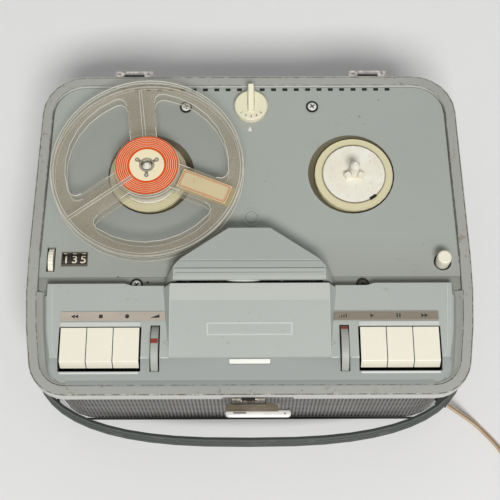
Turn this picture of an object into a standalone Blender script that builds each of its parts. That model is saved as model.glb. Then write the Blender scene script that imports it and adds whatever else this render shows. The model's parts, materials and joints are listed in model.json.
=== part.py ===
"""A portable reel-to-reel tape recorder, piece by piece. Metres, +Z up, front towards -Y.

Places are given from the middle of the case, with Z from the floor. One empty then moves the
whole object so that its footprint is centred on the origin.
"""

import math

import bmesh
import bpy
from mathutils import Matrix, Vector

# Fits and cutting
gap = 0.0003
running_gap = 0.0001
overrun = 0.002
wall = 0.0025

# Case outline, seen from above. Its depth follows from the panel and the reel.
case_width = 0.340
rear_taper = 0.002
case_height = 0.107
foot_height = 0.006
rear_corner_radius = 0.034
front_corner_radius = 0.028
tub_corner_radius = 0.042
side_bow_radius = 0.450
widest_reach = 0.1005
corner_steps = 6
bow_steps = 3

# Rim frame
rim_width = 0.0085
rim_round = 0.0010
rim_rise = 0.0020
rim_skirt = 0.0100
rim_skirt_wall = 0.0018
rim_opening_shift = 0.0008
rim_notch_margin = 0.0017
ledge_width = 0.0045
ledge_thickness = 0.0020
sheet = 0.0030

# Tub, grille and base
grille_inset = 0.0058
grille_thickness = 0.0017
wall_draft = 0.0012
tub_wall = 0.0050
rib_pitch = 0.002886
rib_depth = 0.0007
grille_end_degrees = 20
cover_sheet = 0.0030
cover_inset = 0.0070
vent_count = 9
vent_pitch = 0.016
vent_length = 0.060
vent_width = 0.004
foot_radius = 0.010
foot_taper = 0.0015
foot_side_margin = 0.0320
foot_front_margin = 0.0325
foot_rear_margin = 0.0285
speaker_radius = 0.034
speaker_flange = 0.0020
speaker_depth = 0.016
speaker_magnet_radius = 0.017
speaker_magnet_depth = 0.012
speaker_z = 0.050
speaker_mouth_radius = 0.030
speaker_cone_share = 0.3

# Deck
deck_shift = 0.0016
reel_spacing = 0.0116
reel_front_margin = 0.0176
reel_rear_margin = 0.0116
well_radius = 0.0343
well_shift = 0.0022
deck_step_back = 0.0073
deck_lap = 0.0042
deck_step = 0.0015
tongue_margin = 0.0080
tongue_lap = 0.0257
slot_count = 24
slot_pitch = 0.00935
slot_shift_share = 0.66
slot_width = 0.0041
slot_length = 0.0040
boss_ring_radius = 0.0077
boss_ring_back = 0.0566
boss_ring_width = 0.0008
boss_ring_rise = 0.0004
screw_radius = 0.0047
screw_rise = 0.0007
screw_rear_x = 0.0515
screw_rear_margin = 0.0275
screw_front_x = 0.0862
screw_front_back = 0.0013
screw_slot = 0.0011
screw_arm_share = 0.55
knob_rear_margin = 0.0285
knob_shaft_radius = 0.0030

# Control panel
panel_depth = 0.0842
panel_rise = 0.0065
panel_valley = 0.0058
panel_bevel = 0.0036
panel_corner_radius = 0.030
slope_depth = 0.0272
panel_foot_rise = 0.0003
panel_skirt_drop = 0.0004
panel_notch = 0.0018
panel_notch_half = 0.0945
panel_notch_slant = 0.0060
plate_half = 0.0592
plate_foot_half = 0.0668
plate_inset = 0.0037
plate_rise = 0.0180
plate_front_rise = 0.0008

# Keys
key_bank_inner_x = 0.0815
key_side_margin = 0.0297
keys_in_bank = 3
key_gap = 0.0005
key_window_gap = 0.0011
key_front_margin = 0.0211
key_length = 0.0285
key_window_back = 0.0011
key_window_front = 0.0034
key_rise = 0.0080
key_crease_drop = 0.0006
key_face_length = 0.0030
key_face_foot = 0.0002
key_skirt = 0.0010
key_throat = 0.0031
key_neck_drop = 0.0010
key_arm = 0.0081
key_shaft_drop = 0.0120
key_shaft_radius = 0.0020
key_hub_radius = 0.0048
bracket_sheet = 0.0015
bracket_wheel_gap = 0.0049
bracket_key_gap = 0.0027
bracket_crease_gap = 0.0013
bracket_outer_gap = 0.0011
bracket_back = 0.0148
bracket_drop = 0.0020

# Thumbwheels
thumb_key_gap = 0.0114
thumb_front_margin = 0.0354
thumb_radius = 0.0200
thumb_width = 0.0052
thumb_drop = 0.0068
thumb_slot_width = 0.0072
thumb_slot_half = 0.0162
thumb_ribs = 28
thumb_rib_depth = 0.0004
thumb_axle_radius = 0.0020

# Label strips and level window
strip_key_gap = 0.0052
strip_width = 0.0072
strip_overhang = 0.0004
strip_thickness = 0.0004
level_width = 0.0300
level_length = 0.0034
level_crease_gap = 0.0029
level_depth = 0.0060
level_flange = 0.0010

# Counter
counter_side = 0.0355
counter_back = 0.0221
counter_width = 0.0200
counter_length = 0.0110
drum_radius = 0.0070
drum_width = 0.0060
drum_pitch = 0.0066
drum_drop = 0.0076
counter_shaft_radius = 0.0013
reset_side = 0.0174
reset_radius = 0.0108
reset_width = 0.0038
reset_slot_width = 0.0066
reset_slot_length = 0.0200
reset_ribs = 24
reset_rib_depth = 0.0004

# Push button and selector knob
button_side = 0.0219
button_back = 0.0189
button_radius = 0.0054
button_rise = 0.0120
button_hole_radius = 0.0069
button_round = 0.0012
button_guide_length = 0.0140
button_guide_wall = 0.0018
knob_radius = 0.0136
knob_height = 0.0062
knob_round = 0.0010
knob_bar_width = 0.0040
knob_bar_rise = 0.0105
knob_bar_foot = 0.0070
knob_bar_front = 0.0062
knob_bar_front_drop = 0.0085
knob_shaft_length = 0.0140

# Turntables
table_radius = 0.0312
table_drop = 0.0009
table_thickness = 0.0060
table_lip = 0.0060
table_recess = 0.0010
disc_rise = 0.0005
disc_dome = 0.0006
hub_pad_radius = 0.0090
wing_radius = 0.0085
wing_width = 0.0034
wing_rise = 0.0062
spindle_radius = 0.0037
spindle_rise = 0.0185
spindle_tip = 0.0025
spindle_tip_share = 0.45
shaft_radius = 0.0030
bearing_radius = 0.0060

# Reel
reel_radius = 0.0758
reel_bottom_rise = 0.0055
flange_thickness = 0.0015
reel_top_rise = 0.0175
reel_hub_radius = 0.0290
reel_hub_wall = 0.0022
reel_seat_radius = 0.0150
reel_bore_radius = 0.0044
reel_slot_reach = 0.0112
reel_slot_width = 0.0042
reel_turn_degrees = 5.0
spoke_turn_degrees = 7.4
window_hub_gap = 0.0015
window_rim = 0.0118
spoke_half = 0.0112
window_corner = 0.0085
window_hub_corner = 0.0020
window_corner_shares = (1.0, 0.5, 0.13, 0.0)
window_arc_steps = 7
reel_steps = 48
rib_height = 0.0006
label_radius = 0.0247
label_sheet = 0.0004
paper_length = 0.0406
paper_width = 0.0157
paper_reach = 0.0488
paper_angle_degrees = -22.0

# Head cover and tape path
cover_panel_lap = 0.0017
cover_length = 0.0410
cover_back_half = 0.0158
cover_side_margin = 0.0028
cover_roof_inset = 0.0070
cover_shoulder_inset = 0.0120
cover_shoulder_back = 0.0165
cover_roof_back = 0.0108
cover_foot_back = 0.0070
cover_foot_front = 0.0026
cover_rise = 0.0210
cover_wall = 0.0020
cover_lip_length = 0.0050
cover_lip_rise = 0.0008
cover_groove_width = 0.0007
cover_groove_depth = 0.0004
cover_groove_shares = (0.25, 0.66)
cover_mouth_rise = 0.0165
capstan_x = 0.0240
capstan_back = 0.0003
capstan_radius = 0.0018
capstan_top_rise = 0.0160
capstan_hole_radius = 0.0040
roller_radius = 0.0062
roller_width = 0.0086
roller_bore = 0.0018
roller_rise = 0.0032
roller_rest_gap = 0.0042
arm_reach_x = 0.0210
arm_reach_y = 0.0120
arm_sheet = 0.0014
arm_width = 0.0060
arm_rise = 0.0022
head_width = 0.0120
head_depth = 0.0120
head_height = 0.0140
head_capstan_gap = 0.0025
head_nose = 0.0015
head_nose_share = 1 / 3
head_spacing = 0.0250
head_plate_margin = 0.0040
head_plate_length = 0.0090
head_plate_sheet = 0.0010
guide_margin = 0.0050
guide_radius = 0.0022
guide_flange_radius = 0.0036
guide_height = 0.0135
guide_flange = 0.0014

# Chassis and drive
chassis_drop = 0.041
chassis_sheet = 0.0016
chassis_side_margin = 0.0260
chassis_lap = 0.0157
chassis_rear_margin = 0.0205
post_radius = 0.0040
post_side_inset = 0.0140
post_front_inset = 0.0200
post_rear_inset = 0.0140
flywheel_radius = 0.0330
flywheel_thickness = 0.0100
flywheel_drop = 0.0050
flywheel_web_radius = 0.0220
flywheel_web_recess = 0.0030
flywheel_end = 0.0040
motor_radius = 0.0260
motor_height = 0.0260
motor_cap = 0.0030
motor_shaft_radius = 0.0015
pulley_radius = 0.0050
pulley_height = 0.0060
belt_thickness = 0.0008
belt_width = 0.0040
belt_facet_share = 0.6
belt_steps = 12
transformer_side_inset = 0.0390
transformer_rear_inset = 0.0320
transformer_width = 0.0560
transformer_length = 0.0440
transformer_floor_gap = 0.0127
coil_bulge = 0.0060
board_inner_x = 0.0380
board_side_margin = 0.0360
board_rear_margin = 0.0315
board_front_back = 0.0673
board_sheet = 0.0016
board_z = 0.0200
standoff_radius = 0.0030
standoff_inset = 0.0060
valve_radius = 0.0095
valve_head_gap = 0.0092
valve_tip_radius = 0.0030
valve_shares = ((-0.30, 0.25), (0.22, 0.25), (-0.04, -0.25))

# Handle
handle_inset = 0.0015
handle_setback = 0.0525
handle_clear = 0.0219
handle_power = 2.67
handle_z = 0.0510
handle_height = 0.0134
handle_thickness = 0.0050
handle_top = 0.0019
handle_groove = 0.0006
handle_groove_shares = (0.30, 0.36, 0.42, 0.60, 0.66, 0.72)
handle_steps = 26
eye_radius = 0.0085
stud_radius = 0.0040
stud_head_radius = 0.0065
stud_head = 0.0016
stud_boss_radius = 0.0058

# Latch and hinges
latch_x = -0.0010
bracket_width = 0.0246
latch_plate = 0.0013
latch_top_drop = 0.0060
latch_bracket_height = 0.0200
latch_reach = 0.0032
latch_slot_width = 0.0120
latch_slot_length = 0.0014
pin_radius = 0.0009
barrel_wall = 0.0006
lever_width = 0.0350
lever_height = 0.0233
lever_shift = 0.0048
lip_width = 0.0490
lip_shift = 0.0068
lip_reach = 0.0062
lip_corner = 0.0024
hinge_side_margin = 0.0715
hinge_width = 0.0307
hinge_reach = 0.0058
hinge_sheet = 0.0014
hinge_height = 0.0180
hinge_slot_width = 0.0166
hinge_slot_length = 0.0026

# Cord
cord_radius = 0.0019
cord_lift = 0.0001
gland_degrees = 37
gland_z = 0.0155
gland_length = 0.0090
gland_depth = 0.0125
gland_radius = 0.0042
gland_tip_radius = 0.0030
gland_flange_radius = 0.0056
gland_flange = 0.0016
cord_spacing = 0.0095
cord_fall_places = (
    (0.1704, -0.1245, 0.0130),
    (0.1774, -0.1276, 0.0075),
    (0.1841, -0.1314, 0.0032),
)
cord_floor_places = (
    (0.1883, -0.1351),
    (0.1925, -0.1396),
    (0.1972, -0.1448),
    (0.2022, -0.1512),
    (0.2110, -0.1640),
)
coil_x = 0.2420
coil_y = -0.1520
coil_middle_radius = 0.0220
coil_pitch = 0.0044
coil_layers = 4
coil_turns_in_layer = 2.5
coil_points_in_turn = 18
plug_length = 0.0340
plug_width = 0.0260
plug_neck_width = 0.0110
plug_height = 0.0130
plug_bevel = 0.0020
plug_shoulder_share = 0.35
plug_pin_length = 0.0190
plug_pin_radius = 0.0020
plug_pin_spacing = 0.0180
plug_lead = 0.0400
plug_swing = 0.0120

# The case's edges
case_depth = panel_depth + reel_front_margin + 2 * reel_radius + reel_rear_margin
front_y = -case_depth / 2
rear_y = case_depth / 2
side_half = case_width / 2
rear_width = case_width - 2 * rear_taper
widest_y = front_y + widest_reach
foot_x = side_half - foot_side_margin
foot_front_y = front_y + foot_front_margin
foot_rear_y = rear_y - foot_rear_margin
hinge_x = rear_width / 2 - hinge_side_margin
tub_inset = grille_inset + grille_thickness + gap

# Heights
rim_top = foot_height + case_height
deck_z = rim_top - rim_rise
tub_bottom = foot_height + cover_sheet + gap
tub_top = deck_z - rim_opening_shift - sheet - ledge_thickness - gap
ledge_top = deck_z - sheet - gap
chassis_z = deck_z - chassis_drop

# The panel and what sits in it
panel_back_y = front_y + panel_depth
crease_y = front_y + slope_depth
plate_back_y = panel_back_y - plate_inset
level_y = crease_y - level_crease_gap
key_bank_outer_x = side_half - key_side_margin
key_pitch = (key_bank_outer_x - key_bank_inner_x) / keys_in_bank
key_front_y = front_y + key_front_margin
key_crease_y = key_front_y + key_face_length
key_back_y = key_front_y + key_length
key_throat_y = key_back_y - key_throat
key_shaft_y = key_back_y + key_arm
thumb_x = key_bank_inner_x - thumb_key_gap
thumb_y = front_y + thumb_front_margin
strip_outer_x = key_bank_outer_x + strip_overhang
strip_front_y = key_back_y + strip_key_gap
strip_back_y = strip_front_y + strip_width
bracket_inner_x = thumb_x + bracket_wheel_gap
bracket_outer_x = key_bank_outer_x + bracket_key_gap
bracket_front_y = crease_y + bracket_crease_gap
bracket_outer_front_y = key_back_y - bracket_outer_gap
bracket_back_y = key_shaft_y + bracket_back

# The deck and what sits in it
spindle_spacing = 2 * reel_radius + reel_spacing
supply_x = deck_shift - spindle_spacing / 2
takeup_x = deck_shift + spindle_spacing / 2
spindle_y = panel_back_y + reel_front_margin + reel_radius
deck_step_y = panel_back_y + deck_step_back
deck_front_y = panel_back_y - deck_lap
tongue_front_y = panel_back_y - tongue_lap
screw_front_y = panel_back_y + screw_front_back
screw_rear_y = rear_y - screw_rear_margin
boss_ring_y = panel_back_y + boss_ring_back
knob_y = rear_y - knob_rear_margin
counter_x = counter_side - side_half
counter_y = panel_back_y + counter_back
reset_x = reset_side - side_half
button_x = side_half - button_side
button_y = panel_back_y + button_back
table_top = deck_z - table_drop
window_inner_radius = reel_hub_radius + window_hub_gap
window_outer_radius = reel_radius - window_rim

# Under the head cover
cover_front_y = panel_back_y - cover_panel_lap
cover_back_y = cover_front_y + cover_length
cover_foot_x = plate_foot_half - cover_side_margin
cover_roof_x = cover_foot_x - cover_roof_inset
cover_shoulder_x = cover_foot_x - cover_shoulder_inset
cover_shoulder_y = cover_front_y + cover_shoulder_back
cover_roof_y = cover_front_y + cover_roof_back
cover_foot_y = cover_front_y + cover_foot_back
tongue_half = cover_foot_x - tongue_margin
capstan_y = panel_back_y + capstan_back
arm_pivot_x = capstan_x + arm_reach_x
arm_pivot_y = capstan_y - arm_reach_y
head_front_y = capstan_y + head_capstan_gap
record_head_x = capstan_x - head_spacing
erase_head_x = record_head_x - head_spacing
head_plate_half = tongue_half - head_plate_margin
guide_x = head_plate_half - guide_margin

# On and under the chassis
chassis_half = side_half - chassis_side_margin
chassis_front_y = panel_back_y - chassis_lap
chassis_rear_y = rear_y - chassis_rear_margin
post_x = chassis_half - post_side_inset
post_front_y = chassis_front_y + post_front_inset
post_rear_y = chassis_rear_y - post_rear_inset
motor_y = spindle_y
transformer_x = transformer_side_inset - chassis_half
transformer_y = chassis_rear_y - transformer_rear_inset
transformer_height = chassis_z - gap - foot_height - cover_sheet - transformer_floor_gap
board_outer_x = side_half - board_side_margin
board_front_y = panel_back_y + board_front_back
board_rear_y = rear_y - board_rear_margin
board_width = board_outer_x - board_inner_x
board_length = board_rear_y - board_front_y
board_x = (board_inner_x + board_outer_x) / 2
board_y = (board_front_y + board_rear_y) / 2
valve_height = chassis_z - valve_head_gap - board_z - board_sheet / 2

# Handle and footprint
handle_half = side_half - handle_inset
handle_y = front_y + handle_setback
handle_reach = handle_setback + handle_clear
handle_front = handle_y - handle_reach - handle_thickness / 2
hinge_back = rear_y + hinge_reach
root_y = -(handle_front + hinge_back) / 2

ROOT = None


def clear_scene():
    for obj in list(bpy.data.objects):
        bpy.data.objects.remove(obj, do_unlink=True)


def make_root():
    root = bpy.data.objects.new("recorder_root", None)
    bpy.context.scene.collection.objects.link(root)
    root.location = (0, root_y, 0)
    return root


def material(name, color, roughness, metallic=0.0, alpha=1.0):
    found = bpy.data.materials.get(name)
    if found:
        return found
    made = bpy.data.materials.new(name)
    made.use_nodes = True
    shader = made.node_tree.nodes["Principled BSDF"]
    shader.inputs["Base Color"].default_value = (*color, 1.0)
    shader.inputs["Roughness"].default_value = roughness
    shader.inputs["Metallic"].default_value = metallic
    shader.inputs["Alpha"].default_value = alpha
    made.diffuse_color = (*color, alpha)
    return made


def deck_grey():
    return material("deck_grey", (0.33, 0.35, 0.34), 0.5)


def panel_grey():
    return material("panel_grey", (0.42, 0.45, 0.43), 0.45)


def rim_grey():
    return material("rim_grey", (0.30, 0.31, 0.28), 0.5)


def cream():
    return material("cream_plastic", (0.88, 0.84, 0.68), 0.35)


def chrome():
    return material("chrome", (0.80, 0.80, 0.80), 0.15, 1.0)


def steel():
    return material("steel", (0.55, 0.56, 0.57), 0.35, 1.0)


def dark():
    return material("dark_plastic", (0.05, 0.05, 0.05), 0.5)


def rubber():
    return material("rubber", (0.03, 0.03, 0.03), 0.8)


def clear_plastic():
    return material("clear_plastic", (0.55, 0.50, 0.38), 0.25, 0.0, 0.6)


# Mesh helpers


def finish_mesh(name, bm, look, origin=(0, 0, 0)):
    """One object from a bmesh in case coordinates, with its origin moved to the given place."""
    bmesh.ops.translate(bm, verts=bm.verts, vec=-Vector(origin))
    bmesh.ops.recalc_face_normals(bm, faces=bm.faces)
    mesh = bpy.data.meshes.new(name)
    bm.to_mesh(mesh)
    bm.free()
    obj = bpy.data.objects.new(name, mesh)
    bpy.context.scene.collection.objects.link(obj)
    obj.parent = ROOT
    obj.location = origin
    mesh.materials.append(look)
    return obj


def add_loops(bm, loops, closed):
    """Sides between loops of equal length; closed joins the last loop to the first."""
    rings = [[bm.verts.new(p) for p in loop] for loop in loops]
    pairs = list(zip(rings, rings[1:]))
    if closed:
        pairs.append((rings[-1], rings[0]))
    for low, high in pairs:
        count = len(low)
        for i in range(count):
            j = (i + 1) % count
            bm.faces.new((low[i], low[j], high[j], high[i]))
    if not closed:
        bm.faces.new(rings[0])
        bm.faces.new(rings[-1])


def loft(bm, loops):
    add_loops(bm, loops, False)


def ring(bm, loops):
    add_loops(bm, loops, True)


def box(bm, low, high):
    x0, y0, z0 = low
    x1, y1, z1 = high
    corners = ((x0, y0), (x1, y0), (x1, y1), (x0, y1))
    loft(bm, [[(x, y, z) for x, y in corners] for z in (z0, z1)])


def circle(radius, steps, centre=(0, 0), z=0.0):
    turn = 2 * math.pi / steps
    return [
        (centre[0] + radius * math.cos(i * turn), centre[1] + radius * math.sin(i * turn), z)
        for i in range(steps)
    ]


def cylinder(bm, centre, radius, z0, z1, steps=24, top_radius=None):
    top = radius if top_radius is None else top_radius
    loft(bm, [circle(radius, steps, centre, z0), circle(top, steps, centre, z1)])


def lathe(bm, centre, profile, steps, closed=False):
    """A turned solid from (radius, z) pairs. A closed profile is a ring round an open bore."""
    loops = [circle(radius, steps, centre, z) for radius, z in profile]
    add_loops(bm, loops, closed)


def along_x(bm, profile, x0, x1):
    """A (y, z) outline drawn out along X."""
    loft(bm, [[(x, y, z) for y, z in profile] for x in (x0, x1)])


def along_y(bm, profile, y0, y1):
    """An (x, z) outline drawn out along Y."""
    loft(bm, [[(x, y, z) for x, z in profile] for y in (y0, y1)])


def along_z(bm, outline_points, z0, z1):
    loft(bm, [[(x, y, z) for x, y in outline_points] for z in (z0, z1)])


def axle(bm, x0, x1, y, z, radius, steps=12):
    """A round bar along X."""
    turn = 2 * math.pi / steps
    profile = [(y + radius * math.cos(i * turn), z + radius * math.sin(i * turn)) for i in range(steps)]
    along_x(bm, profile, x0, x1)


def helper(name, bm):
    """A shape that only cuts or joins: it is hidden in renders and drawn as wire."""
    obj = finish_mesh(name, bm, dark())
    obj.hide_render = True
    obj.display_type = "WIRE"
    return obj


def boolean(obj, bm, name, operation):
    tool = helper(name, bm)
    modifier = obj.modifiers.new(name, "BOOLEAN")
    modifier.operation = operation
    modifier.solver = "EXACT"
    modifier.object = tool


def cut(obj, bm, name):
    boolean(obj, bm, name, "DIFFERENCE")


def join(obj, bm, name):
    boolean(obj, bm, name, "UNION")


def keep(obj, bm, name):
    boolean(obj, bm, name, "INTERSECT")


# Case outline


def case_arcs(front_radius):
    """Centre, radius and end angles of the right half's arcs, from the rear to the front."""
    rear = (rear_width / 2 - rear_corner_radius, rear_y - rear_corner_radius)
    bow = (side_half - side_bow_radius, widest_y)
    across, along = rear[0] - bow[0], rear[1] - bow[1]
    reach = math.hypot(across, along)
    lean = math.atan2(along, across) - math.acos((side_bow_radius - rear_corner_radius) / reach)
    swing = side_bow_radius - front_radius
    turn = math.asin((bow[1] - front_y - front_radius) / swing)
    front = (bow[0] + swing * math.cos(turn), front_y + front_radius)
    return (
        (rear, rear_corner_radius, math.pi / 2, lean, corner_steps),
        (bow, side_bow_radius, lean, -turn, bow_steps),
        (front, front_radius, -turn, -math.pi / 2, corner_steps),
    )


def outline(inset, shift=0.0, front_radius=front_corner_radius):
    """The case's outline moved inwards by inset, as (x, y) points all the way round."""
    right = []
    for centre, radius, start, end, steps in case_arcs(front_radius):
        first = 1 if radius == front_radius else 0
        for i in range(first, steps + 1):
            angle = start + (end - start) * i / steps
            reach = radius - inset
            right.append(
                (centre[0] + reach * math.cos(angle), centre[1] + reach * math.sin(angle) + shift)
            )
    return right + [(-x, y) for x, y in reversed(right)]


def outline_loop(inset, z, shift=0.0, front_radius=front_corner_radius):
    return [(x, y, z) for x, y in outline(inset, shift, front_radius)]


def side_x(y, inset, front_radius=front_corner_radius):
    """How far out the case's side is at y, in front of the rear corner, for this inset."""
    points = outline(inset, 0, front_radius)
    half = points[: len(points) // 2]
    for (x0, y0), (x1, y1) in zip(half, half[1:]):
        if y1 <= y <= y0:
            share = (y0 - y) / (y0 - y1)
            return x0 + (x1 - x0) * share
    return half[-1][0]


# Case pieces


def rim_frame():
    inner = rim_width
    ledge = rim_width + ledge_width
    low = ledge_top - ledge_thickness
    profile = (
        (0, deck_z + rim_rise - rim_round, 0),
        (rim_round, deck_z + rim_rise, 0),
        (inner - rim_round / 2, deck_z + rim_rise, -rim_opening_shift),
        (inner, deck_z + rim_rise - rim_round / 2, -rim_opening_shift),
        (inner, ledge_top, -rim_opening_shift),
        (ledge, ledge_top, -rim_opening_shift),
        (ledge, low, -rim_opening_shift),
        (rim_skirt_wall, low, 0),
        (rim_skirt_wall, deck_z - rim_skirt, 0),
        (rim_round / 2, deck_z - rim_skirt, 0),
        (0, deck_z - rim_skirt + rim_round, 0),
    )
    bm = bmesh.new()
    ring(bm, [outline_loop(inset, z, shift) for inset, z, shift in profile])
    rim = finish_mesh("rim_frame", bm, rim_grey())
    cut_latch_notch(rim)
    return rim


def cut_latch_notch(rim):
    """The skirt opens where the latch passes under it."""
    middle = latch_x + lip_shift
    half = lip_width / 2 + rim_notch_margin
    low, high = deck_z - rim_skirt - overrun, deck_z - latch_top_drop + rim_notch_margin
    bm = bmesh.new()
    back = front_y + rim_skirt_wall + overrun
    box(bm, (middle - half, front_y - overrun, low), (middle + half, back, high))
    cut(rim, bm, "latch_notch_cutter")


def tub_loop(inset, z):
    """The walls under the rim have wider front corners than the rim has."""
    return outline_loop(inset, z, 0, tub_corner_radius)


def case_tub():
    bm = bmesh.new()
    outer_low = tub_inset + wall_draft
    ring(
        bm,
        [
            tub_loop(outer_low, tub_bottom),
            tub_loop(tub_inset, tub_top),
            tub_loop(tub_inset + tub_wall, tub_top),
            tub_loop(outer_low + tub_wall, tub_bottom),
        ],
    )
    tub = finish_mesh("case_tub", bm, material("case_covering", (0.16, 0.17, 0.17), 0.7))
    cut_speaker_mouth(tub)
    for side in (-1, 1):
        add_handle_stud(tub, side)
    cut_gland_hole(tub, "tub_gland_cutter")
    return tub


def cut_speaker_mouth(tub):
    bm = bmesh.new()
    back = front_y + tub_inset + tub_wall + speaker_depth
    lathe_y(bm, (0, speaker_z), ((speaker_mouth_radius, front_y), (speaker_mouth_radius, back)), 20)
    cut(tub, bm, "speaker_mouth_cutter")


def lathe_y(bm, centre, profile, steps):
    """A turned solid about a line along Y, from (radius, y) pairs."""
    turn = 2 * math.pi / steps
    loops = []
    for radius, y in profile:
        loops.append(
            [
                (centre[0] + radius * math.cos(i * turn), y, centre[1] + radius * math.sin(i * turn))
                for i in range(steps)
            ]
        )
    loft(bm, loops)


def lathe_x(bm, centre, profile, steps):
    """A turned solid about a line along X, from (x, radius) pairs and a (y, z) centre."""
    turn = 2 * math.pi / steps
    loops = []
    for x, radius in profile:
        loops.append(
            [
                (x, centre[0] + radius * math.cos(i * turn), centre[1] + radius * math.sin(i * turn))
                for i in range(steps)
            ]
        )
    loft(bm, loops)


def add_handle_stud(tub, side):
    """A boss, a pin and a head in one turned piece, which carries the handle's eye."""
    eye_in = handle_half - handle_thickness / 2
    eye_out = handle_half + handle_thickness / 2
    start = side_x(handle_y, tub_inset + tub_wall / 2, tub_corner_radius)
    profile = (
        (start, stud_boss_radius),
        (eye_in - 2 * gap, stud_boss_radius),
        (eye_in - 2 * gap, stud_radius),
        (eye_out + gap, stud_radius),
        (eye_out + gap, stud_head_radius),
        (eye_out + gap + stud_head, stud_radius),
    )
    bm = bmesh.new()
    lathe_x(bm, (handle_y, handle_z), [(side * x, radius) for x, radius in profile], 16)
    join(tub, bm, f"handle_stud_{'left' if side < 0 else 'right'}")


def front_corner(inset):
    """Centre, radius, start and end of the right front corner of the walls, without its side end."""
    centre, radius, _, end, _ = case_arcs(tub_corner_radius)[2]
    return centre, radius - inset, -math.radians(grille_end_degrees), end


def gland_place():
    """Moves a shape made along X to the gland's place on the right front corner."""
    centre, reach, _, _ = front_corner(grille_inset)
    angle = -math.radians(gland_degrees)
    spot = (centre[0] + reach * math.cos(angle), centre[1] + reach * math.sin(angle), gland_z)
    return Matrix.Translation(spot) @ Matrix.Rotation(angle, 4, "Z")


def cut_gland_hole(obj, name):
    bm = bmesh.new()
    axle(bm, -gland_depth, gland_length, 0, 0, gland_tip_radius + gap, 12)
    bmesh.ops.transform(bm, matrix=gland_place(), verts=bm.verts)
    cut(obj, bm, name)


def front_ribs(inset):
    """Points along the front and its two corners that step in and out by the rib depth."""
    centre, reach, start, end = front_corner(inset)
    arc_ribs = round((start - end) * front_corner(grille_inset)[1] / rib_pitch)
    line_ribs = round(2 * centre[0] / rib_pitch)
    right = []
    for i in range(2 * arc_ribs):
        angle = start + (end - start) * i / (2 * arc_ribs)
        away = reach - (rib_depth if i % 2 else 0)
        right.append((centre[0] + away * math.cos(angle), centre[1] + away * math.sin(angle)))
    line = []
    for i in range(2 * line_ribs + 1):
        x = centre[0] * (1 - i / line_ribs)
        line.append((x, centre[1] - reach + (rib_depth if i % 2 else 0)))
    return right + line + [(-x, y) for x, y in reversed(right)]


def grille_back(inset):
    """The grille's smooth inner face, from the right round to the left."""
    centre, reach, start, end = front_corner(inset + grille_thickness)
    back = []
    for i in range(2 * corner_steps + 1):
        angle = start + (end - start) * i / (2 * corner_steps)
        back.append((centre[0] + reach * math.cos(angle), centre[1] + reach * math.sin(angle)))
    return back + [(-x, y) for x, y in reversed(back)]


def speaker_grille():
    loops = []
    for inset, z in ((grille_inset + wall_draft, tub_bottom + gap), (grille_inset, tub_top - gap)):
        loops.append([(x, y, z) for x, y in front_ribs(inset) + grille_back(inset)[::-1]])
    bm = bmesh.new()
    loft(bm, loops)
    grille = finish_mesh("speaker_grille", bm, material("grille_metal", (0.20, 0.20, 0.20), 0.4, 0.6))
    cut_gland_hole(grille, "grille_gland_cutter")
    return grille


def bottom_cover():
    bm = bmesh.new()
    loft(bm, [tub_loop(cover_inset, z) for z in (foot_height, foot_height + cover_sheet)])
    plate = finish_mesh("bottom_cover", bm, dark())
    bm = bmesh.new()
    for i in range(vent_count):
        x = (i - (vent_count - 1) / 2) * vent_pitch
        box(
            bm,
            (x - vent_width / 2, -vent_length / 2, foot_height - overrun),
            (x + vent_width / 2, vent_length / 2, foot_height + cover_sheet + overrun),
        )
    cut(plate, bm, "vent_cutter")
    return plate


def feet():
    for name, x, y in (
        ("foot_front_left", -foot_x, foot_front_y),
        ("foot_front_right", foot_x, foot_front_y),
        ("foot_rear_left", -foot_x, foot_rear_y),
        ("foot_rear_right", foot_x, foot_rear_y),
    ):
        bm = bmesh.new()
        cylinder(bm, (x, y), foot_radius - foot_taper, 0, foot_height - gap, 16, foot_radius)
        finish_mesh(name, bm, rubber())


def loudspeaker():
    front = front_y + tub_inset + wall_draft + tub_wall + gap
    back = front + speaker_flange + speaker_depth
    profile = (
        (speaker_mouth_radius * speaker_cone_share, back),
        (speaker_mouth_radius, front),
        (speaker_radius, front),
        (speaker_radius, front + speaker_flange),
        (speaker_mouth_radius, front + speaker_flange),
        (speaker_magnet_radius, back),
        (speaker_magnet_radius, back + speaker_magnet_depth),
    )
    bm = bmesh.new()
    lathe_y(bm, (0, speaker_z), profile, 18)
    return finish_mesh("loudspeaker", bm, material("speaker_steel", (0.25, 0.25, 0.25), 0.5, 0.5))


# Deck plate


def deck_holes():
    """Every opening that goes right through the deck plate, as one cutter."""
    low, high = deck_z - sheet - overrun, deck_z + overrun
    bm = bmesh.new()
    for side, x in ((-1, supply_x), (1, takeup_x)):
        cylinder(bm, (x - side * well_shift, spindle_y), well_radius, low, high, 36)
    cylinder(bm, (deck_shift, knob_y), knob_shaft_radius + running_gap, low, high, 16)
    cylinder(bm, (button_x, button_y), button_hole_radius, low, high, 20)
    cylinder(bm, (capstan_x, capstan_y), capstan_hole_radius, low, high, 12)
    half, length = counter_width / 2, counter_length / 2
    box(bm, (counter_x - half, counter_y - length, low), (counter_x + half, counter_y + length, high))
    half, length = reset_slot_width / 2, reset_slot_length / 2
    box(bm, (reset_x - half, counter_y - length, low), (reset_x + half, counter_y + length, high))
    for i in range(slot_count):
        x = (i - (slot_count - 1) / 2) * slot_pitch + slot_pitch * slot_shift_share
        edge = rear_y - rim_width
        box(bm, (x - slot_width / 2, edge - slot_length, low), (x + slot_width / 2, edge, high))
    return bm


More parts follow.
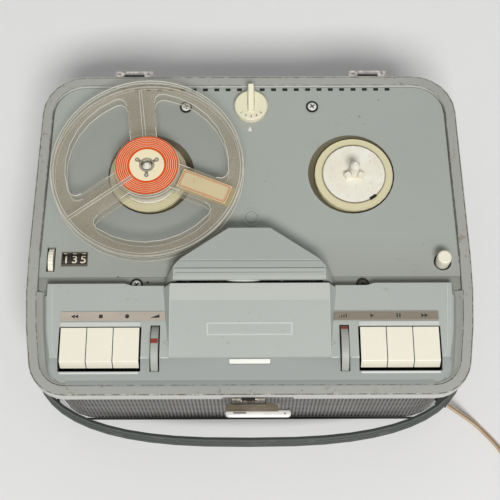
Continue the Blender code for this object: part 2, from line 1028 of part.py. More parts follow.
def cut_deck_front(deck):
    """The plate stops under the panel's back edge but for a tongue that carries the tape path."""
    low, high = deck_z - sheet - overrun, deck_z + overrun
    far = case_width
    bm = bmesh.new()
    points = (
        (-far, deck_front_y),
        (-far, -far),
        (far, -far),
        (far, deck_front_y),
        (tongue_half, deck_front_y),
        (tongue_half, tongue_front_y),
        (-tongue_half, tongue_front_y),
        (-tongue_half, deck_front_y),
    )
    along_z(bm, points, low, high)
    cut(deck, bm, "deck_front_cutter")
    bm = bmesh.new()
    box(bm, (-far, -far, deck_z - deck_step), (far, deck_step_y, high))
    cut(deck, bm, "deck_step_cutter")


def cross_screw(bm, x, y, z):
    """A round head with a cross recess, cut as one outline."""
    arm, half = screw_radius * screw_arm_share, screw_slot / 2
    cross = []
    for right, up in ((1, 1), (-1, 1), (-1, -1), (1, -1)):
        corner = [(right * arm, up * half), (right * half, up * half), (right * half, up * arm)]
        cross += corner if right * up > 0 else corner[::-1]
    along_z(bm, [(x + px, y + py) for px, py in cross], z + screw_rise / 3, z + screw_rise + overrun)


def deck_plate():
    bm = bmesh.new()
    inset = rim_width + gap
    loft(bm, [outline_loop(inset, z, -rim_opening_shift) for z in (deck_z - sheet, deck_z)])
    deck = finish_mesh("deck_plate", bm, deck_grey())
    cut(deck, deck_holes(), "deck_hole_cutter")
    cut_deck_front(deck)
    bm = bmesh.new()
    crosses = bmesh.new()
    for x in (-screw_rear_x, screw_rear_x):
        cylinder(bm, (x, screw_rear_y), screw_radius, deck_z - sheet / 2, deck_z + screw_rise, 16)
        cross_screw(crosses, x, screw_rear_y, deck_z)
    low = deck_z - deck_step
    for x in (-screw_front_x, screw_front_x):
        cylinder(bm, (x, screw_front_y), screw_radius, low - sheet / 4, low + screw_rise, 16)
        cross_screw(crosses, x, screw_front_y, low)
    add_boss_ring(bm)
    add_button_guide(bm)
    join(deck, bm, "deck_details")
    cut(deck, crosses, "screw_cross_cutter")
    return deck


def add_boss_ring(bm):
    low, high = deck_z - sheet / 2, deck_z + boss_ring_rise
    inner = boss_ring_radius - boss_ring_width
    profile = ((boss_ring_radius, low), (boss_ring_radius, high), (inner, high), (inner, low))
    lathe(bm, (deck_shift, boss_ring_y), profile, 20, closed=True)


def add_button_guide(bm):
    inner = button_radius + running_gap
    outer = button_hole_radius + button_guide_wall
    low, high = deck_z - button_guide_length, deck_z - sheet / 2
    profile = ((outer, low), (outer, high), (button_hole_radius, high), (button_hole_radius, deck_z - sheet))
    profile += ((inner, deck_z - sheet - wall), (inner, low))
    lathe(bm, (button_x, button_y), profile, 20, closed=True)


# Control panel


def raised_loops(inset, low, high, draft):
    """The raised part of the panel: an outline with wide front corners that narrows upwards."""
    start = rim_width + panel_valley + inset
    shift = -rim_opening_shift - panel_valley + 3 * gap
    return [
        outline_loop(start, low, shift, panel_corner_radius),
        outline_loop(start + draft, high, shift, panel_corner_radius),
    ]


def panel_side_profile(drop, back, front):
    """The panel's (y, z) outline: level, then sloping from the crease to the rim."""
    foot_y = front_y + rim_width - rim_opening_shift
    slope = (panel_rise + panel_foot_rise) / (crease_y - foot_y)
    low = deck_z - sheet - overrun - case_height
    top = deck_z + panel_rise - drop
    return (
        (back, low),
        (back, top),
        (crease_y, top),
        (foot_y - front, deck_z - panel_foot_rise - drop - slope * front),
        (foot_y - front, low),
    )


def plate_wedge(bm, inset, low):
    """The middle plate: level across, falling from the head cover to the crease."""
    back, front = plate_back_y, crease_y + gap + inset
    top = deck_z + plate_rise - inset
    front_top = deck_z + panel_rise + plate_front_rise - inset
    foot = deck_z + panel_rise / 2 if inset == 0 else low
    half, wide = plate_half - inset, plate_foot_half - inset
    if inset:
        back = plate_back_y + overrun * 4
        slope = (plate_rise - panel_rise - plate_front_rise) / (plate_back_y - crease_y)
        top = deck_z + plate_rise - inset + slope * (back - plate_back_y)
        wide = half
    lower = [(-wide, back, foot), (wide, back, foot), (half, front, foot), (-half, front, foot)]
    upper = [(-half, back, top), (half, back, top), (half, front, front_top), (-half, front, front_top)]
    loft(bm, [lower, upper])
    bmesh.ops.triangulate(bm, faces=bm.faces)


def control_panel():
    bottom = ledge_top + gap
    bm = bmesh.new()
    loft(bm, raised_loops(0, bottom + gap, deck_z + panel_rise + overrun, panel_bevel))
    panel = finish_mesh("control_panel", bm, panel_grey())
    bm = bmesh.new()
    along_x(bm, panel_side_profile(0, panel_back_y, overrun), -case_width, case_width)
    keep(panel, bm, "panel_profile")
    join(panel, panel_flange(bottom), "panel_flange")
    bm = bmesh.new()
    plate_wedge(bm, 0, bottom)
    join(panel, bm, "middle_plate")
    hollow_panel(panel, bottom)
    bm = bmesh.new()
    skirt = deck_z - panel_skirt_drop
    box(bm, (-case_width, deck_front_y - gap, bottom - overrun), (case_width, panel_back_y + overrun, skirt))
    cut(panel, bm, "panel_skirt_cutter")
    bm = bmesh.new()
    half = cover_foot_x + 2 * gap
    back = panel_back_y + 2 * overrun
    box(bm, (-half, plate_back_y + gap, skirt - gap), (half, back, deck_z + plate_rise))
    cut(panel, bm, "cover_front_cutter")
    cut_panel_notch(panel)
    cut(panel, panel_windows(), "panel_window_cutter")
    cut(panel, thumbwheel_reliefs(), "thumbwheel_relief_cutter")
    cut_level_window(panel)
    return panel


def cut_panel_notch(panel):
    """The back edge steps forwards a little between the two front screws."""
    half, back = panel_notch_half, panel_back_y + overrun
    points = (
        (-half, back),
        (-half, panel_back_y),
        (panel_notch_slant - half, panel_back_y - panel_notch),
        (half - panel_notch_slant, panel_back_y - panel_notch),
        (half, panel_back_y),
        (half, back),
    )
    bm = bmesh.new()
    along_z(bm, points, deck_z - sheet, deck_z + panel_rise + overrun)
    cut(panel, bm, "panel_notch_cutter")


def panel_flange(bottom):
    """The low flange between the raised part and the rim."""
    bm = bmesh.new()
    inset = rim_width + gap
    back = deck_front_y - gap
    edge = side_x(back, inset)
    points = [p for p in outline(inset, -rim_opening_shift) if p[1] < back - overrun]
    right = [p for p in points if p[0] > 0]
    left = [p for p in points if p[0] < 0]
    shape = [(edge, back)] + right + left + [(-edge, back)]
    along_z(bm, shape, bottom, deck_z - panel_foot_rise)
    return bm


def hollow_panel(panel, bottom):
    """Leaves one wall of plastic under the raised part and the middle plate."""
    low = bottom - overrun
    bm = bmesh.new()
    loft(bm, raised_loops(wall + ledge_width, low, deck_z + panel_rise, panel_bevel))
    inner = helper("panel_hollow_cutter", bm)
    bm = bmesh.new()
    along_x(bm, panel_side_profile(wall, panel_back_y - panel_notch - wall, -wall), -case_width, case_width)
    trim = inner.modifiers.new("trim", "BOOLEAN")
    trim.operation = "INTERSECT"
    trim.object = helper("panel_hollow_profile", bm)
    modifier = panel.modifiers.new("hollow", "BOOLEAN")
    modifier.object = inner
    bm = bmesh.new()
    plate_wedge(bm, wall, low - overrun)
    cut(panel, bm, "plate_hollow_cutter")


def key_bank_span(side):
    inner = side * (key_bank_inner_x - key_window_gap)
    outer = side * (key_bank_outer_x + key_window_gap)
    return min(inner, outer), max(inner, outer)


def panel_windows():
    low, high = deck_z - sheet - overrun * 2, deck_z + plate_rise
    bm = bmesh.new()
    for side in (-1, 1):
        x0, x1 = key_bank_span(side)
        front, back = key_front_y - key_window_front, key_back_y + key_window_back
        box(bm, (x0, front, low), (x1, back, high))
        half = thumb_slot_width / 2
        x = side * thumb_x
        box(bm, (x - half, thumb_y - thumb_slot_half, low), (x + half, thumb_y + thumb_slot_half, high))
    return bm


def thumbwheel_reliefs():
    """Room for the wheels under both ends of their slots."""
    bm = bmesh.new()
    half = thumb_slot_width / 2
    for x in (-thumb_x, thumb_x):
        axle(bm, x - half, x + half, thumb_y, deck_z - thumb_drop, thumb_radius + 2 * gap, 40)
    return bm


def slope_angle():
    foot_y = front_y + rim_width - rim_opening_shift
    return math.atan2(panel_rise + panel_foot_rise, crease_y - foot_y)


def on_slope(y):
    """Height of the panel's front slope at y."""
    return deck_z + panel_rise - (crease_y - y) * math.tan(slope_angle())


def level_box(bm, half_width, half_length, low, high):
    """A block square to the front slope at the level window, between two heights over it."""
    tilt = Matrix.Rotation(slope_angle(), 4, "X")
    place = Matrix.Translation((0, level_y, on_slope(level_y))) @ tilt
    before = set(bm.verts)
    box(bm, (-half_width, -half_length, low), (half_width, half_length, high))
    new = [v for v in bm.verts if v not in before]
    bmesh.ops.transform(bm, matrix=place, verts=new)


def cut_level_window(panel):
    bm = bmesh.new()
    level_box(bm, level_width / 2 + gap, level_length / 2 + gap, -level_depth, overrun)
    cut(panel, bm, "level_window_cutter")


def level_indicator():
    bm = bmesh.new()
    flange = wall + gap
    level_box(bm, level_width / 2, level_length / 2, -flange - level_flange / 2, -gap)
    bar = finish_mesh("level_indicator", bm, material("milk_glass", (0.75, 0.78, 0.74), 0.3))
    bm = bmesh.new()
    out = level_flange + gap
    level_box(bm, level_width / 2 + out, level_length / 2 + out, -flange - level_flange, -flange)
    join(bar, bm, "level_flange")
    return bar


def plate_edge_x(y):
    """How far out the side of the middle plate meets the panel at y."""
    share = (y - crease_y) / (plate_back_y - crease_y)
    foot = plate_half + (plate_foot_half - plate_half) * share
    above = plate_front_rise + (plate_rise - panel_rise - plate_front_rise) * share
    return foot + (plate_half - foot) * panel_rise / (panel_rise + 2 * above)


def label_strips():
    z = deck_z + panel_rise + gap
    for name, side, color in (
        ("label_strip_left", -1, (0.62, 0.50, 0.42)),
        ("label_strip_right", 1, (0.38, 0.31, 0.25)),
    ):
        points = [
            (side * (plate_edge_x(strip_front_y) + 2 * gap), strip_front_y),
            (side * strip_outer_x, strip_front_y),
            (side * strip_outer_x, strip_back_y),
            (side * (plate_edge_x(strip_back_y) + 2 * gap), strip_back_y),
        ]
        bm = bmesh.new()
        along_z(bm, points, z, z + strip_thickness)
        finish_mesh(name, bm, material(name, color, 0.5))


# Keys and thumbwheels


def key_profile():
    """The (y, z) side view of one key, from its hub up over the top to the front."""
    hub_y, hub_z = key_shaft_y, deck_z - key_shaft_drop
    top = deck_z + key_rise
    lower = deck_z - key_skirt
    neck = deck_z - key_neck_drop
    hub = []
    for degrees in (200, 240, 280, 320, 0, 40, 80, 120):
        angle = math.radians(degrees)
        hub.append((hub_y + key_hub_radius * math.cos(angle), hub_z + key_hub_radius * math.sin(angle)))
    return [
        (key_back_y, top),
        (key_crease_y, top - key_crease_drop),
        (key_front_y, deck_z + key_face_foot),
        (key_front_y, lower),
        (key_throat_y, lower),
    ] + hub + [(key_back_y, neck)]


def keys():
    names = {
        -1: ("key_rewind", "key_stop", "key_record"),
        1: ("key_start", "key_pause", "key_wind"),
    }
    hub = (key_shaft_y, deck_z - key_shaft_drop)
    for side, bank in names.items():
        low_x = min(side * key_bank_inner_x, side * key_bank_outer_x)
        for i, name in enumerate(bank):
            x0 = low_x + i * key_pitch + key_gap / 2
            x1 = x0 + key_pitch - key_gap
            bm = bmesh.new()
            along_x(bm, key_profile(), x0, x1)
            key = finish_mesh(name, bm, cream(), ((x0 + x1) / 2, *hub))
            bm = bmesh.new()
            axle(bm, x0 - overrun, x1 + overrun, *hub, key_shaft_radius + running_gap, 12)
            cut(key, bm, name + "_bore")


def key_shaft():
    """One rod right across the case, which both banks of keys turn on."""
    reach = bracket_outer_x + 2 * bracket_sheet
    bm = bmesh.new()
    axle(bm, -reach, reach, key_shaft_y, deck_z - key_shaft_drop, key_shaft_radius, 12)
    return finish_mesh("key_shaft", bm, steel())


def ribbed_wheel(bm, x, y, z, radius, width, ribs, depth):
    """A wheel on a line along X whose rim has teeth."""
    profile = []
    for i in range(2 * ribs):
        angle = math.pi * i / ribs
        away = radius - (depth if i % 2 else 0)
        profile.append((y + away * math.cos(angle), z + away * math.sin(angle)))
    along_x(bm, profile, x - width / 2, x + width / 2)


def thumbwheels():
    z = deck_z - thumb_drop
    look = material("thumbwheel_grey", (0.36, 0.37, 0.34), 0.5)
    for name, side in (("level_wheel", -1), ("tone_wheel", 1)):
        x = side * thumb_x
        bm = bmesh.new()
        ribbed_wheel(bm, x, thumb_y, z, thumb_radius, thumb_width, thumb_ribs, thumb_rib_depth)
        wheel = finish_mesh(name, bm, look, (x, thumb_y, z))
        inner, outer = sorted((x, side * (bracket_inner_x + 2 * bracket_sheet)))
        bm = bmesh.new()
        axle(bm, inner, outer, thumb_y, z, thumb_axle_radius, 12)
        join(wheel, bm, name + "_axle")


# Counter


def counter_frame():
    z = deck_z - drum_drop
    ends = counter_width / 2 + bracket_sheet
    low = z - drum_radius - bracket_sheet - gap
    top = deck_z - sheet - gap
    depth = drum_radius + gap
    bm = bmesh.new()
    floor = low + bracket_sheet
    box(bm, (counter_x - ends, counter_y - depth, low), (counter_x + ends, counter_y + depth, floor))
    frame = finish_mesh("counter_frame", bm, dark())
    for label, x in (("left", counter_x - ends), ("right", counter_x + ends - bracket_sheet)):
        bm = bmesh.new()
        box(bm, (x, counter_y - depth, low), (x + bracket_sheet, counter_y + depth, top))
        join(frame, bm, f"counter_cheek_{label}")
    bm = bmesh.new()
    axle(bm, reset_x - reset_width, counter_x + ends, counter_y, z, counter_shaft_radius, 12)
    join(frame, bm, "counter_shaft")
    return frame


def digit_drums():
    z = deck_z - drum_drop
    look = dark()
    for i, name in enumerate(("drum_hundreds", "drum_tens", "drum_units")):
        x = counter_x + (i - 1) * drum_pitch
        half = drum_width / 2
        bore = counter_shaft_radius + running_gap
        bm = bmesh.new()
        loops = []
        for offset, radius in ((-half, drum_radius), (half, drum_radius), (half, bore), (-half, bore)):
            turn = 2 * math.pi / 20
            loops.append(
                [
                    (x + offset, counter_y + radius * math.cos(k * turn), z + radius * math.sin(k * turn))
                    for k in range(20)
                ]
            )
        ring(bm, loops)
        finish_mesh(name, bm, look, (x, counter_y, z))


def reset_wheel():
    z = deck_z - drum_drop
    bm = bmesh.new()
    ribbed_wheel(bm, reset_x, counter_y, z, reset_radius, reset_width, reset_ribs, reset_rib_depth)
    wheel = finish_mesh("reset_wheel", bm, cream(), (reset_x, counter_y, z))
    bm = bmesh.new()
    bore = counter_shaft_radius + running_gap
    axle(bm, reset_x - reset_width, reset_x + reset_width, counter_y, z, bore, 12)
    cut(wheel, bm, "reset_bore")
    return wheel


# Button and knob


def push_button():
    low = deck_z - button_guide_length - wall
    top = deck_z + button_rise
    profile = (
        (button_radius, low),
        (button_radius, top - button_round),
        (button_radius - button_round / 3, top - button_round / 3),
        (button_radius - button_round, top),
    )
    bm = bmesh.new()
    lathe(bm, (button_x, button_y), profile, 24)
    return finish_mesh("push_button", bm, cream(), (button_x, button_y, deck_z))


def selector_knob():
    centre = (deck_shift, knob_y)
    low = deck_z + gap
    top = low + knob_height
    profile = (
        (knob_shaft_radius, deck_z - knob_shaft_length),
        (knob_shaft_radius, low),
        (knob_radius, low),
        (knob_radius, top - knob_round),
        (knob_radius - knob_round, top),
    )
    bm = bmesh.new()
    lathe(bm, centre, profile, 24)
    knob = finish_mesh("selector_knob", bm, cream(), (*centre, deck_z))
    join(knob, knob_bar(top), "knob_bar")
    return knob


def knob_bar(top):
    """The grip across the knob: a low nose in front and a tall back edge."""
    front, back = knob_y - knob_bar_front, knob_y + knob_radius
    foot, half = knob_bar_foot / 2, knob_bar_width / 2
    crown = top + knob_bar_rise
    low = top - 2 * knob_round
    lower = [(-foot, front, low), (foot, front, low), (foot, back, low), (-foot, back, low)]
    nose = crown - knob_bar_front_drop
    upper = [(-half, front, nose), (half, front, nose), (half, back, crown), (-half, back, crown)]
    bm = bmesh.new()
    loft(bm, [[(deck_shift + x, y, z) for x, y, z in loop] for loop in (lower, upper)])
    bmesh.ops.triangulate(bm, faces=bm.faces)
    return bm


# Turntables


def turntable(name, x):
    centre = (x, spindle_y)
    top = table_top
    low = top - table_thickness
    lip = table_radius - table_lip
    profile = (
        (shaft_radius, chassis_z - wall),
        (shaft_radius, low),
        (table_radius - table_recess, low),
        (table_radius, low + table_recess),
        (table_radius, top - table_recess / 2),
        (table_radius - table_recess / 2, top),
        (lip, top),
        (lip, top - table_recess),
        (spindle_radius, top - table_recess),
        (spindle_radius, deck_z + spindle_rise - spindle_tip),
        (spindle_radius * spindle_tip_share, deck_z + spindle_rise),
    )
    bm = bmesh.new()
    lathe(bm, centre, profile, 28)
    table = finish_mesh(name, bm, cream(), (*centre, deck_z))
    return table


def table_disc(name, x, degrees, look):
    """The disc that a reel rests on, with the three wings that turn the reel."""
    centre = (x, spindle_y)
    bore = spindle_radius + running_gap
    low = table_top - table_recess + gap
    top = deck_z + disc_rise
    radius = table_radius - table_lip - gap
    profile = (
        (radius, low),
        (radius, top - disc_dome),
        (radius - disc_dome, top),
        (hub_pad_radius, top),
        (bore, top),
        (bore, low),
    )
    bm = bmesh.new()
    lathe(bm, centre, profile, 24, closed=True)
    disc = finish_mesh(name, bm, look, (*centre, deck_z))
    join_wings(disc, name, x, degrees, bore)
    return disc


def join_wings(disc, name, x, degrees, bore):
    for i in range(3):
        angle = math.radians(degrees + 120 * i)
        along = Vector((math.cos(angle), math.sin(angle)))
        across = Vector((-along.y, along.x)) * wing_width / 2
        middle = Vector((x, spindle_y))
        near, far = middle + along * (bore + gap), middle + along * wing_radius
        points = [near - across, far - across, far + across, near + across]
        bm = bmesh.new()
        along_z(bm, [tuple(p) for p in points], table_top + gap, deck_z + wing_rise)
        join(disc, bm, f"{name}_wing_{i}")


def turntables():
    turntable("supply_turntable", supply_x)
    turntable("takeup_turntable", takeup_x)
    table_disc("supply_disc", supply_x, 30 + reel_turn_degrees, cream())
    look = material("frosted_disc", (0.80, 0.78, 0.68), 0.3)
    table_disc("takeup_disc", takeup_x, -30, look)


# Reel


def spoke_angles():
    return [spoke_turn_degrees + 90 + 120 * i for i in range(3)]


def window_points(degrees):
    """One window between two spokes: straight sides, wide outer corners and small inner ones."""
    small, wide = window_hub_corner, window_corner
    edge = [
        (window_inner_radius, window_side(window_inner_radius, small)),
        (window_inner_radius + small, window_side(window_inner_radius + small, 0)),
    ]
    for share in window_corner_shares:
        depth = share * wide
        left = wide - depth
        extra = wide - math.sqrt(max(wide**2 - left**2, 0))
        edge.append((window_outer_radius - depth, window_side(window_outer_radius - depth, extra)))
    middle = math.radians(degrees)
    right = [(r, middle - a) for r, a in edge]
    left = [(r, middle + a) for r, a in reversed(edge)]
    points = list(right)
    points += arc_between(window_outer_radius, right[-1][1], left[0][1], window_arc_steps)
    points += left
    points += arc_between(window_inner_radius, left[-1][1], right[0][1], window_arc_steps // 2)
    return [(r * math.cos(a) + supply_x, r * math.sin(a) + spindle_y) for r, a in points]


def window_side(radius, extra):
    """Half a window's angle at this radius, beside a spoke with straight sides."""
    return math.radians(60) - math.asin((spoke_half + extra) / radius)


def arc_between(radius, start, end, steps):
    return [(radius, start + (end - start) * i / steps) for i in range(1, steps)]


def cut_windows(flange, low, high, name):
    bm = bmesh.new()
    for degrees in spoke_angles():
        along_z(bm, window_points(degrees + 60), low - overrun, high + overrun)
    cut(flange, bm, name + "_window_cutter")


def slot_outline(reach, width):
    """The reel's bore with its three drive slots, as one outline."""
    points = []
    for i in range(3):
        middle = math.radians(reel_turn_degrees + 30 + 120 * i)
        spread = math.asin(width / 2 / reel_bore_radius)
        for radius, offset in (
            (reel_bore_radius, -spread),
            (reach, -math.asin(width / 2 / reach)),
            (reach, math.asin(width / 2 / reach)),
            (reel_bore_radius, spread),
        ):
            angle = middle + offset
            points.append((supply_x + radius * math.cos(angle), spindle_y + radius * math.sin(angle)))
        rest = math.radians(120) - 2 * spread
        for k in (1, 2):
            angle = middle + spread + rest * k / 3
            along = (math.cos(angle), math.sin(angle))
            points.append((supply_x + reel_bore_radius * along[0], spindle_y + reel_bore_radius * along[1]))
    return points


def reel():
    base = deck_z + reel_bottom_rise
    seat = deck_z + disc_rise + gap
    top = deck_z + reel_top_rise
    lower_top = base + flange_thickness
    upper_low = top - flange_thickness
    centre = (supply_x, spindle_y)
    bm = bmesh.new()
    inner = reel_hub_radius - reel_hub_wall
    profile = (
        (reel_seat_radius, seat),
        (reel_seat_radius, base),
        (reel_radius - rib_height, base),
        (reel_radius, base + rib_height),
        (reel_radius, lower_top),
        (reel_hub_radius, lower_top),
        (reel_hub_radius, upper_low - gap),
        (inner, upper_low - gap),
        (inner, lower_top),
        (reel_seat_radius, lower_top),
        (reel_seat_radius, upper_low - gap),
    )
    lathe(bm, centre, profile, reel_steps)
    lower = finish_mesh("reel_lower_flange", bm, clear_plastic(), (*centre, deck_z))
    cut_windows(lower, base, lower_top, "reel_lower")
    bm = bmesh.new()
    along_z(bm, slot_outline(reel_slot_reach, reel_slot_width), seat - overrun, top + overrun)
    cut(lower, bm, "reel_lower_bore")

    bm = bmesh.new()
    profile = ((reel_radius, upper_low), (reel_radius, top - rib_height), (reel_radius - rib_height, top))
    lathe(bm, centre, profile, reel_steps)
    upper = finish_mesh("reel_upper_flange", bm, clear_plastic(), (*centre, deck_z))
    cut_windows(upper, upper_low, top, "reel_upper")
    bm = bmesh.new()
    along_z(bm, slot_outline(reel_slot_reach, reel_slot_width), upper_low - overrun, top + overrun)
    cut(upper, bm, "reel_upper_bore")
    reel_label(top)


def reel_label(top):
    centre = (supply_x, spindle_y)
    low = top + gap
    bm = bmesh.new()
    cylinder(bm, centre, label_radius, low, low + label_sheet, 36)
    orange = material("orange_label", (0.85, 0.20, 0.07), 0.5)
    label = finish_mesh("reel_label", bm, orange, (*centre, deck_z))
    bm = bmesh.new()
    along_z(bm, slot_outline(reel_slot_reach, reel_slot_width), low - overrun, low + overrun)
    cut(label, bm, "reel_label_bore")

    angle = math.radians(paper_angle_degrees)
    along = Vector((math.cos(angle), math.sin(angle)))
    across = Vector((-along.y, along.x)) * paper_width / 2
    middle = Vector(centre) + along * paper_reach
    half = along * paper_length / 2
    points = [middle - half - across, middle + half - across, middle + half + across, middle - half + across]
    bm = bmesh.new()
    along_z(bm, [tuple(p) for p in points], low, low + label_sheet)
    finish_mesh("paper_label", bm, material("paper", (0.85, 0.78, 0.55), 0.7), (*centre, deck_z))


# Head cover and tape path


def cover_outline(grow, roof):
    """The cover's plan. The roof stops short of the foot at its two front corners."""
    shoulder = (cover_shoulder_x - grow, cover_shoulder_y - grow)
    out = cover_roof_x if roof else cover_foot_x
    corner_y = cover_roof_y if roof else cover_foot_y
    front = cover_front_y if roof else cover_front_y + cover_foot_front
    right = [
        (cover_back_half - grow, cover_back_y - grow),
        shoulder,
        (out - grow, corner_y - grow),
        (out - grow, front + grow),
    ]
    return right + [(-x, y) for x, y in reversed(right)]


def head_cover():
    low, high = deck_z + gap, deck_z + cover_rise
    bm = bmesh.new()
    loft(
        bm,
        [
            [(x, y, low) for x, y in cover_outline(0, False)],
            [(x, y, high) for x, y in cover_outline(0, True)],
        ],
    )
    bmesh.ops.triangulate(bm, faces=bm.faces)
    cover = finish_mesh("head_cover", bm, panel_grey(), (0, cover_front_y, deck_z))
    bm = bmesh.new()
    half = cover_roof_x - cover_wall
    back = cover_front_y + cover_lip_length
    box(bm, (-half, cover_front_y, high - cover_wall), (half, back, high + cover_lip_rise))
    join(cover, bm, "cover_lip")
    bm = bmesh.new()
    loft(
        bm,
        [
            [(x, y, low - overrun) for x, y in cover_outline(cover_wall, False)],
            [(x, y, high - cover_wall) for x, y in cover_outline(cover_wall, True)],
        ],
    )
    bmesh.ops.triangulate(bm, faces=bm.faces)
    cut(cover, bm, "cover_hollow_cutter")
    bm = bmesh.new()
    mouth = deck_z + cover_mouth_rise
    inside = cover_front_y + cover_foot_front + 2 * cover_wall
    box(bm, (-half, cover_front_y - overrun, low - overrun), (half, inside, mouth))
    length = cover_shoulder_y - cover_front_y
    for share in cover_groove_shares:
        y = cover_front_y + cover_lip_length + length * share
        box(bm, (-half, y, high - cover_groove_depth), (half, y + cover_groove_width, high + overrun))
    cut(cover, bm, "cover_mouth_cutter")
    return cover


def tape_heads():
    low = deck_z - deck_step + gap
    for name, x in (("erase_head", erase_head_x), ("record_play_head", record_head_x)):
        half = head_width / 2
        points = (
            (x - half, head_front_y + head_nose),
            (x - half * head_nose_share, head_front_y),
            (x + half * head_nose_share, head_front_y),
            (x + half, head_front_y + head_nose),
            (x + half, head_front_y + head_depth),
            (x - half, head_front_y + head_depth),
        )
        bm = bmesh.new()
        along_z(bm, points, deck_z + gap, low + head_height)
        finish_mesh(name, bm, chrome())


def head_plate():
    """A thin plate on the deck's tongue, with the two tape guides pressed into it."""
    base = deck_z - deck_step + gap
    top = base + guide_height
    bm = bmesh.new()
    back = deck_front_y + head_plate_length
    box(bm, (-head_plate_half, deck_front_y, base), (head_plate_half, back, base + head_plate_sheet))
    plate = finish_mesh("head_plate", bm, steel())
    for label, x in (("left", -guide_x), ("right", guide_x)):
        profile = (
            (guide_flange_radius, base + head_plate_sheet / 2),
            (guide_flange_radius, base + guide_flange * 2),
            (guide_radius, base + guide_flange * 2),
            (guide_radius, top - guide_flange),
            (guide_flange_radius, top - guide_flange),
            (guide_flange_radius, top),
        )
        bm = bmesh.new()
        lathe(bm, (x, head_front_y), profile, 12)
        join(plate, bm, f"tape_guide_{label}")
    bm = bmesh.new()
    cylinder(bm, (capstan_x, capstan_y), capstan_hole_radius, base - overrun, base + overrun, 12)
    cut(plate, bm, "head_plate_capstan_hole")
    return plate


def roller_centre():
    return (capstan_x, capstan_y - capstan_radius - roller_radius - roller_rest_gap)


def pinch_arm():
    base = deck_z - deck_step + gap
    low = base + arm_rise
    x, y = roller_centre()
    half = arm_width / 2
    bm = bmesh.new()
    points = (
        (x - half, y - half),
        (x + half, y - half),
        (arm_pivot_x + half, arm_pivot_y - half),
        (arm_pivot_x + half, arm_pivot_y + half),
        (arm_pivot_x - half, arm_pivot_y + half),
        (x + half, y + half),
        (x - half, y + half),
    )
    along_z(bm, points, low, low + arm_sheet)
    arm = finish_mesh("pinch_arm", bm, steel(), (arm_pivot_x, arm_pivot_y, low))
    bm = bmesh.new()
    cylinder(bm, (arm_pivot_x, arm_pivot_y), half, base, low + arm_sheet / 2, 12)
    top = deck_z + roller_rise + roller_width
    cylinder(bm, (x, y), roller_bore - running_gap, low + arm_sheet / 2, top, 12)
    join(arm, bm, "pinch_arm_posts")
    return arm


def pinch_roller():
    low = deck_z + roller_rise
    profile = (
        (roller_radius, low),
        (roller_radius, low + roller_width - gap),
        (roller_bore, low + roller_width - gap),
        (roller_bore, low),
    )
    bm = bmesh.new()
    lathe(bm, roller_centre(), profile, 20, closed=True)
    return finish_mesh("pinch_roller", bm, rubber(), (*roller_centre(), low))


# Chassis and drive


def chassis_outline():
    return (
        (-chassis_half, chassis_front_y),
        (chassis_half, chassis_front_y),
        (chassis_half, chassis_rear_y),
        (-chassis_half, chassis_rear_y),
    )


def chassis_plate():
    bm = bmesh.new()
    along_z(bm, chassis_outline(), chassis_z, chassis_z + chassis_sheet)
    plate = finish_mesh("chassis_plate", bm, steel())
    top = deck_z - sheet - gap
    inside = chassis_z + chassis_sheet / 2
    bm = bmesh.new()
    for x in (-post_x, post_x):
        for y in (post_front_y, post_rear_y):
            cylinder(bm, (x, y), post_radius, inside, top, 8)
    for x, y in ((supply_x, spindle_y), (takeup_x, spindle_y)):
        cylinder(bm, (x, y), bearing_radius, inside, table_top - table_thickness - gap, 12)
    cylinder(bm, (capstan_x, capstan_y), bearing_radius, inside, top, 12)
    add_brackets(bm, inside)
    join(plate, bm, "chassis_posts")
    cut(plate, chassis_bores(), "chassis_bore_cutter")
    return plate


def add_brackets(bm, inside):
    """Upright cheeks that carry the key shafts and the thumbwheels."""
    top = deck_z - bracket_drop
    for side in (-1, 1):
        for x, front in ((bracket_inner_x, bracket_front_y), (bracket_outer_x, bracket_outer_front_y)):
            x0, x1 = sorted((side * x, side * (x + bracket_sheet)))
            if x == bracket_outer_x:
                x0, x1 = sorted((side * (x - bracket_sheet / 2), side * (x + bracket_sheet / 2)))
            box(bm, (x0, front, inside - chassis_sheet / 4), (x1, bracket_back_y, top))


def chassis_bores():
    bm = bmesh.new()
    low, high = chassis_z - overrun, deck_z + overrun
    for x, y, radius in (
        (supply_x, spindle_y, shaft_radius),
        (takeup_x, spindle_y, shaft_radius),
        (capstan_x, capstan_y, capstan_radius),
    ):
        cylinder(bm, (x, y), radius + running_gap, low, high, 16)
    cylinder(bm, (deck_shift, motor_y), motor_shaft_radius * 3, low, chassis_z + chassis_sheet + overrun, 12)
    far = bracket_outer_x + 3 * bracket_sheet
    radius = key_shaft_radius + running_gap
    for side in (-1, 1):
        x0, x1 = sorted((side * (bracket_inner_x - overrun), side * far))
        axle(bm, x0, x1, key_shaft_y, deck_z - key_shaft_drop, radius, 12)
        near, away = bracket_inner_x - overrun, bracket_inner_x + bracket_sheet + overrun
        x0, x1 = sorted((side * near, side * away))
        axle(bm, x0, x1, thumb_y, deck_z - thumb_drop, thumb_axle_radius + running_gap, 12)
    return bm


def flywheel_z():
    return chassis_z - flywheel_drop - flywheel_thickness


def flywheel():
    low = flywheel_z()
    top = low + flywheel_thickness
    profile = (
        (capstan_radius, low - flywheel_end),
        (capstan_radius, low),
        (flywheel_radius, low),
        (flywheel_radius, top),
        (flywheel_web_radius, top),
        (flywheel_web_radius, top - flywheel_web_recess),
        (bearing_radius, top - flywheel_web_recess),
        (bearing_radius, chassis_z - gap),
        (capstan_radius, chassis_z - gap),
        (capstan_radius, deck_z + capstan_top_rise),
    )
    bm = bmesh.new()
    lathe(bm, (capstan_x, capstan_y), profile, 24)
    return finish_mesh("flywheel", bm, steel(), (capstan_x, capstan_y, low))


